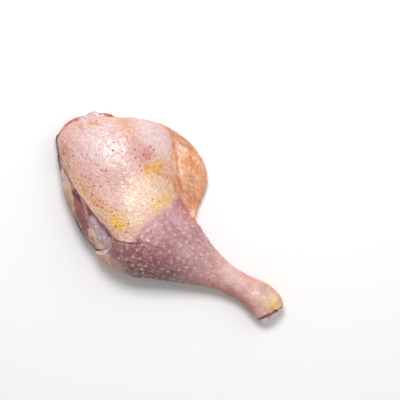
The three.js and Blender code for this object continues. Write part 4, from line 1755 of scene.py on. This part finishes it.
@dataclass
class Meat:
    """The flesh that is bared at the knee side, at the hip rim and beneath."""

    piece: bpy.types.Object = field(init=False)
    bare_from: float = 0.6
    underside: float = -0.8
    knob_size: float = 0.7
    fibre_height: float = 0.4
    lump_height: float = 0.45
    fat_height: float = 0.5
    tendon_height: float = 0.4
    knob_height: float = 0.45
    steep_drift: float = 1.6
    steep_facing: Plan = (0.2, 0.7)
    side_drift: float = 0.8
    upper_facing: Plan = (-0.6, -0.1)
    seam_width: Plan = (0.02, 0.12)
    seam_share: float = 0.8
    knob_share: float = 1.2
    bare_span: Plan = (0.45, 1.6)
    fibre_lie: Place = (0.53, 0.85, -0.5)
    colour: Mottling = Mottling(Hue.MUSCLE, Hue.DARK_MUSCLE, 0.2, 0.8, Uneven((9, 6, 6), 61))
    seams: Uneven = Uneven((26, 12, 12), 12, 2)
    drift_x: Uneven = Uneven((6, 6, 4), 8)
    drift_y: Uneven = Uneven((4, 4, 4), 9)
    lumps: Uneven = Uneven((5, 3.5, 4), 11)
    fibres: Streaks = Streaks(2.2, 14, 10)
    fat_area: Area = Area(
        (
            (-84, -19), (-74, -21.5), (-64, -28), (-57, -35),
            (-50, -41), (-54, -47), (-68, -44), (-86, -28),
        ),
        0.8,
    )
    tendon: Stripe = Stripe(((-56, -29.8), (-52, -31.4), (-48.4, -33.2), (-43.6, -36.2), (-40, -39)), 0.6)
    tints: Sequence[Tint] = (
        Tint(Hue.FAT, fat_area),
        line(Hue.BUTTER, 2.2, 0.6, (-70, -28), (-65, -31.5), (-60, -35), (-55, -38.6), (-51, -41.5)),
        line(Hue.HONEY, 1.8, 0.6, (-66, -33), (-60, -37), (-54, -41.5)),
        spot(Hue.TAN, (-55, -41), (6, 2.4), 0.6, -38),
        spot(Hue.FAT_WHITE, (-73, -30.5), (5, 1.8), 0.6, -35),
        area(Hue.DUSKY, 0.8, 0.75, (-63, -30), (-59, -28), (-52, -29.5), (-54, -33), (-58, -34)),
        line(Hue.DARK_MUSCLE, 2.0, 0.7, (-52, -38), (-44, -42.4), (-36, -45.6)),
        area(
            Hue.DARK_MUSCLE, 0.7, 0.8, (-48, -31), (-40, -31.5), (-38.5, -34), (-42, -34.6),
            (-47, -32.8),
        ),
        area(
            Hue.SILVER, 0.8, 1.0, (-41, -34.2), (-36, -31), (-20, -32), (-13, -37), (-14, -45),
            (-18, -48), (-29, -44.5), (-35, -41.5), (-39.5, -38),
        ),
        # Painted shadow in the flesh just under the lap's free edge.
        line(Hue.DUSKY, 1.5, 0.85, (-48, -31.4), (-40, -32.4), (-32, -33.4), (-25, -34), (-18, -34.6)),
        line(Hue.DEEP, 0.8, 0.6, (-38, -32.6), (-31, -33), (-24, -33.6), (-19, -34.2)),
        area(
            Hue.CREAM, 0.8, 0.95, (-35.6, -42.6), (-33.5, -39.4), (-26, -42), (-18, -43.4), (-20, -47),
            (-28, -47),
        ),
        line(Hue.HONEY, 1.2, 0.3, (-33, -42.5), (-27, -44), (-21, -44.6)),
        line(Hue.MUSCLE, 0.9, 0.8, (-31, -44.2), (-24.4, -46.4), (-18.5, -47.4)),
        line(Hue.DEEP, 0.8, 0.35, (-55, -31), (-50, -34), (-45, -37), (-42, -39.4)),
        line(Hue.SINEW, 0.45, 0.7, (-51, -41), (-46, -43), (-40.5, -44.8), (-34, -46.8), (-29, -48)),
        line(Hue.DEEP, 0.7, 0.5, (-50, -42.6), (-44, -45), (-38, -46.6), (-30, -49)),
        area(
            Hue.SALMON, 0.8, 1.0, (-100, -13), (-96.5, -13), (-96, 3), (-92, 10), (-88, 18), (-76, 21),
            (-72, 28), (-106, 20),
        ),
        line(Hue.LOBE_RED, 0.9, 0.6, (-99, -3), (-98, 4), (-95.5, 10.5), (-92.5, 15)),
        line(Hue.FAT_WHITE, 0.7, 0.5, (-98.6, -10), (-98, -2), (-96.4, 5)),
        area(Hue.LOBE_RED, 0.7, 1.0, (-86, 20.6), (-76, 21.4), (-71, 27), (-80, 30), (-88, 25)),
        spot(Hue.BLOOD, (-90.6, 15.9), (1.1, 0.9), 0.9),
        area(
            Hue.MUSCLE, 1.0, 0.8, (-100, -10), (-95, -14), (-88, -18), (-82, -21.6), (-86, -26),
            (-103, -22),
        ),
        # Painted shadow: dark lines in the flesh just under the skin's lap edge.
        line(
            Hue.MAROON, 0.7, 0.7, (-99, -10), (-97.6, -14.6), (-90.3, -20.8), (-82.6, -24),
            (-76, -25.6),
        ),
        line(Hue.MAROON, 1.3, 0.85, (-94, -17), (-89, -21), (-83.4, -24.8), (-78, -28)),
        # Painted shadow continues under the lap edge.
        line(
            Hue.MAROON, 0.7, 0.75, (-80, -24.6), (-72.3, -26.2), (-66, -29.2), (-60, -31.4),
            (-52, -32.3),
        ),
        line(Hue.MAROON, 2.0, 0.9, (-50, -45), (-40, -48.2), (-30, -50.4), (-18, -51)),
    )
    clean_tints: Sequence[Tint] = (
        line(Hue.GRISTLE, 1.7, 1.0, (-96, 4.6), (-93.6, 9.8), (-90.4, 14), (-86.4, 17.6), (-80, 22)),
        HIP_RIM,
        Tint(Hue.SINEW, tendon),
    )
    bumps: Sequence[tuple[Plan, Hue]] = (
        ((-30.75, -38.5), Hue.ORANGE), ((-35, -35.8), Hue.FAT), ((-28.75, -37.4), Hue.FAT),
        ((-23.6, -37.7), Hue.FAT_WHITE), ((-25.6, -40.6), Hue.FAT_WHITE), ((-20.6, -36.2), Hue.FAT),
        ((-33, -37.4), Hue.FAT), ((-22, -41.4), Hue.HONEY),
    )

    def model(self) -> None:
        """Makes the flesh's mesh, shapes it and paints it."""
        self.piece = copy_of_node("meat", "bared_meat")
        refine(self.piece, 1)
        self.skin = tree_of(frame["nodes"]["skin"])
        divide_faces(self.piece, self._bare_faces())
        facing = face_values(self.piece, "normal")[:, 2] > self.underside
        divide_faces(self.piece, self._bare_faces() & facing)
        self.surface = Surface(self.piece)
        self._paint()
        self._shape()
        self.surface.finish()

    def _bare_faces(self) -> np.ndarray:
        """Finds the faces that no skin covers."""
        return gap_to(self.skin, face_values(self.piece, "center")) > self.bare_from

    def _paint(self) -> None:
        """Paints the flesh's colours by place: seams of fat beneath, and what the photo shows on top."""
        surface, points = self.surface, self.surface.points
        steep = 1 + self.steep_drift * (1 - smooth(surface.normals[:, 2], *self.steep_facing))
        aside = self.side_drift * self.drift_y.at(points)
        drift = [steep * self.drift_x.at(points), aside, 0 * steep]
        warped = points + np.stack(drift, 1)
        self.upper = smooth(surface.normals[:, 2], *self.upper_facing)
        self.fat = self.fat_area.mask(warped) * self.upper
        muscle = self.colour.at(points)
        seams = 1 - smooth(np.abs(self.seams.at(points)), *self.seam_width)
        below = lay_over(muscle, Hue.FAT.light, self.seam_share * seams)
        above = lay_tints(lay_tints(muscle, self.tints, warped), self.clean_tints, points)
        self.knobs = np.zeros(len(points))
        for place, hue in self.bumps:
            knob = np.exp(-((points[:, :2] - place) ** 2).sum(1) / self.knob_size)
            self.knobs = np.maximum(self.knobs, knob)
            above = lay_over(above, hue.light, np.clip(self.knob_share * knob, 0, 1))
        surface.store_tint(lay_over(below, above, self.upper))

    def _shape(self) -> None:
        """Raises fibres, lumps, fat, the tendon and the knobs of fat where no skin lies on them."""
        surface, points = self.surface, self.surface.points
        lay = points @ self.fibre_lie
        surface.store("lay", lay)
        height = self.fibre_height * self.fibres.at(points, lay) * (1 - self.fat)
        height += self.lump_height * self.lumps.at(points) + self.fat_height * self.fat
        height += self.tendon_height * self.tendon.mask(points) * self.upper
        height += self.knob_height * self.knobs
        surface.raise_by(height * smooth(gap_to(self.skin, points * MM), *self.bare_span))


@dataclass
class Bone:
    """A bone whose gristly ends show at a cut."""

    node: str
    name: str
    tints: Sequence[Tint]
    colour: Mottling = Mottling(Hue.GRISTLE, Hue.GRISTLE_SHADE, 0.4, 0.8, Uneven((5, 5, 5), 71))
    ragged: Uneven = Uneven((3, 3, 3), 72)
    sway: float = 0.7
    relief: Uneven = Uneven((3, 3, 3), 13)
    relief_height: float = 0.3
    piece: bpy.types.Object = field(init=False)

    def model(self) -> None:
        """Makes the bone's mesh, roughens its ends a little and paints it."""
        self.piece = copy_of_node(self.node, self.name)
        refine(self.piece, 2)
        surface = Surface(self.piece)
        points = surface.points
        ragged = self.sway * self.ragged.at(points)
        surface.store_tint(lay_tints(self.colour.at(points), self.tints, points + ragged[:, None]))
        surface.raise_by(self.relief_height * self.relief.at(points))
        surface.finish()


@dataclass(frozen=True)
class Lump:
    """A small lump of fat or clotted blood that lies on a cut."""

    at: Plan
    size: Place
    turn: float = 0.0
    drawn_out: float = 0.0
    lift: float = 0.0
    drop_from: float = 100.0
    bed: float = 10.0
    tip_from: float = 0.6
    tip_pull: float = 0.2
    tip: Place = (0.6, 0.55, 0.5)

    def model(self, beds: Sequence[BVHTree]) -> bpy.types.Object:
        """Shapes the lump where it lies.

        Args:
            beds: The surfaces that it may lie on.

        Returns:
            The lump.
        """
        above = Vector((self.at[0] * MM, self.at[1] * MM, self.drop_from * MM))
        hits = [bed.ray_cast(above, Vector((0, 0, -1)))[0] for bed in beds]
        ground = max((hit.z for hit in hits if hit is not None), default=self.bed * MM)
        bpy.ops.object.select_all(action="DESELECT")
        place = (above.x, above.y, ground + self.lift * MM)
        size = tuple(0.5 * side * MM for side in self.size)
        bpy.ops.mesh.primitive_ico_sphere_add(subdivisions=2, radius=1.0, location=place, scale=size)
        lump = bpy.context.view_layer.objects.active
        choose_faces(lump, face_values(lump, "center")[:, 0] > self.tip_from)
        pull = (self.drawn_out * MM + self.tip_pull * size[0], 0, 0)
        bpy.ops.mesh.extrude_region_move(TRANSFORM_OT_translate={"value": pull})
        bpy.ops.transform.resize(value=self.tip)
        bpy.ops.object.mode_set(mode="OBJECT")
        lump.rotation_euler = (0, 0, math.radians(self.turn))
        bpy.ops.object.transform_apply(location=True, rotation=True, scale=True)
        refine(lump, 2)
        return lump


@dataclass
class Scraps:
    """Several lumps that make one piece."""

    name: str
    lumps: Sequence[Lump]
    beds: Sequence[str]
    colour: Mottling
    relief: Uneven = Uneven((1.3, 1.3, 1.3), 82)
    relief_height: float = 0.35
    melting: float = 0.3
    piece: bpy.types.Object = field(init=False)

    def model(self) -> None:
        """Makes the lumps, melts them into one piece and paints it."""
        beds = [tree_of(frame["nodes"][node]) for node in self.beds]
        pieces = [lump.model(beds) for lump in self.lumps]
        select_only(pieces[0])
        for piece in pieces:
            piece.select_set(True)
        bpy.ops.object.join()
        self.piece = bpy.context.view_layer.objects.active
        bpy.ops.object.transform_apply(location=True, rotation=True, scale=True)
        self.piece.name = self.piece.data.name = self.name
        apply_modifier(self.piece, "Merging", "REMESH", voxel_size=self.melting * MM)
        refine(self.piece, 1)
        surface = Surface(self.piece)
        surface.store_tint(self.colour.at(surface.points))
        surface.raise_by(self.relief_height * self.relief.at(surface.points))
        surface.finish()
        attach(self.piece, "root")


@dataclass(frozen=True)
class Lamp:
    """A soft square light that faces the leg: its place and width in metres, and its strength."""

    name: str
    place: Place
    width: float
    watts: float

    def hang(self) -> None:
        """Adds the light to the scene."""
        bpy.ops.object.select_all(action="DESELECT")
        bpy.ops.object.light_add(type="AREA", location=self.place)
        lamp = bpy.context.view_layer.objects.active
        lamp.name = self.name
        lamp.data.size = self.width
        lamp.data.energy = self.watts
        lamp.rotation_euler = (-Vector(self.place)).to_track_quat("-Z", "Y").to_euler()


@dataclass
class Studio:
    """The pale floor, the soft light and the camera above."""

    pixel: float = 0.7
    picture: int = 400
    turn: float = 46.0
    middle: Plan = (3.95, 27.9)
    height: float = 2200.0
    sensor: float = 36.0
    focus: float = 14.0
    floor_width: float = 3.0
    floor_grey: float = 0.94
    floor_roughness: float = 0.9
    surroundings: float = 0.42
    lamps: Sequence[Lamp] = (
        Lamp("key", (-0.31, 0.25, 0.85), 0.3, 5.4),
        Lamp("fill", (0.1, 0.7, 0.7), 0.8, 2.0),
    )

    def build(self) -> None:
        """Builds all of the studio."""
        self._floor()
        self._light()
        self._camera()
        bpy.context.scene.view_settings.view_transform = "Standard"

    def _floor(self) -> None:
        """Lays the floor."""
        bpy.ops.object.select_all(action="DESELECT")
        bpy.ops.mesh.primitive_plane_add(size=self.floor_width, location=(0, 0, 0))
        floor = bpy.context.view_layer.objects.active
        floor.name = "floor"
        material = bpy.data.materials.new("pale_floor")
        material.use_nodes = True
        shader = material.node_tree.nodes["Principled BSDF"]
        shader.inputs["Base Color"].default_value = (*(self.floor_grey,) * 3, 1)
        shader.inputs["Roughness"].default_value = self.floor_roughness
        floor.data.materials.append(material)

    def _light(self) -> None:
        """Hangs the lamps and sets the light from all round."""
        for lamp in self.lamps:
            lamp.hang()
        world = bpy.context.scene.world or bpy.data.worlds.new("studio")
        bpy.context.scene.world = world
        world.use_nodes = True
        background = world.node_tree.nodes["Background"]
        background.inputs["Color"].default_value = (1, 1, 1, 1)
        background.inputs["Strength"].default_value = self.surroundings

    def _camera(self) -> None:
        """Sets the camera straight above, turned as the photo is."""
        bpy.ops.object.select_all(action="DESELECT")
        place = (self.middle[0] * MM, self.middle[1] * MM, self.height * MM)
        bpy.ops.object.camera_add(location=place, rotation=(0, 0, math.radians(self.turn)))
        camera = bpy.context.view_layer.objects.active
        camera.data.sensor_width = self.sensor
        width = self.pixel * self.picture
        camera.data.lens = self.sensor * (self.height - self.focus) / width
        bpy.context.scene.camera = camera


def report(piece: bpy.types.Object) -> None:
    """Writes a piece's name and its number of triangles to the log."""
    piece.data.calc_loop_triangles()
    LOG.info("%s: %d triangles", piece.name, len(piece.data.loop_triangles))


def clothe(piece: bpy.types.Object, material: bpy.types.Material) -> None:
    """Gives a piece one material and reports the piece.

    Args:
        piece: The piece.
        material: Its material.
    """
    piece.data.materials.clear()
    piece.data.materials.append(material)
    report(piece)


def build_bones(effects: Effects) -> None:
    """Builds the two bones' ends.

    Args:
        effects: The shared effects.
    """
    thin = {"mottling": 0.15, "fibres": 0.1, "films": 0.1, "relief_depth": 0.15}
    material = FleshFinish("gristle", roughness=0.3, coat=0.4, **thin).build(effects)
    hock_stains = (
        spot(Hue.GRISTLE, (97.4, 6), (2.6, 9), 0.9),
        line(Hue.BLOOD, 1.1, 0.85, (93, 13), (94.5, 9), (93.5, 5), (91.5, 1)),
        spot(Hue.MAROON, (92.8, 1.2), (1.8, 1.6), 0.9),
        spot(Hue.SALMON, (96.8, 5.4), (1.2, 1.6), 0.5),
    )
    bones = (
        Bone("shin_bone", "shin_gristle", hock_stains),
        Bone("thigh_bone", "hip_ball", (HIP_RIM,)),
    )
    for bone in bones:
        bone.model()
        clothe(bone.piece, material)


def build_scraps(effects: Effects) -> None:
    """Builds the scraps of fat at the hip and the blood clots at the hock.

    Args:
        effects: The shared effects.
    """
    fat_lumps = (
        Lump((-91.7, 17.2), (3.8, 2.6, 2.2), 115, 1.6),
        Lump((-88.2, 17.0), (3.8, 2.6, 1.6), 48),
        Lump((-85.6, 19.6), (3.8, 2.4, 1.6), 46),
    )
    clots = (
        Lump((96.7, 12.6), (3.6, 2.4, 3.2), 70, lift=1.0),
        Lump((95.8, 10.2), (3.8, 2.2, 3.8), 62, lift=1.3),
        Lump((94.9, 7.6), (4.0, 2.8, 4.0), 76, lift=1.4),
        Lump((93.8, 5.0), (3.8, 2.2, 3.6), 58, lift=1.2),
        Lump((93.0, 2.4), (3.8, 2.6, 3.4), 68, lift=0.9),
        Lump((92.3, 0.2), (3.0, 2.4, 3.0), 84, lift=0.3),
    )
    patches = Uneven((1.6, 1.6, 1.6), 81)
    pale = Mottling(Hue.FAT_WHITE, Hue.FAT, 0.5, 1.0, patches)
    dark = Mottling(Hue.BLOOD, Hue.MUSCLE, 0.5, 1.0, patches)
    fat = FleshFinish("white_fat", mottling=0.1, fibres=0.0, films=0.0)
    blood = FleshFinish("clotted_blood", roughness=0.22, mottling=0.3, fibres=0.0, films=0.0)
    hip = Scraps("hip_fat", fat_lumps, ("meat", "thigh_bone"), pale)
    hock = Scraps("blood_clots", clots, ("meat", "shin_bone"), dark)
    for scraps, finish in ((hip, fat), (hock, blood)):
        scraps.model()
        clothe(scraps.piece, finish.build(effects))


def main() -> None:
    """Builds the studio and the leg, and logs each piece's number of triangles."""
    logging.basicConfig(level=logging.INFO, format="%(name)s: %(message)s")
    Studio().build()
    effects = Effects()
    skin = Skin()
    skin.model()
    skin.dress(SkinFinish("raw_skin").build(effects), CutFatFinish("cut_fat").build(effects))
    report(skin.piece)
    meat = Meat()
    meat.model()
    clothe(meat.piece, FleshFinish("raw_meat").build(effects))
    build_bones(effects)
    build_scraps(effects)


if __name__ == "__main__":
    main()
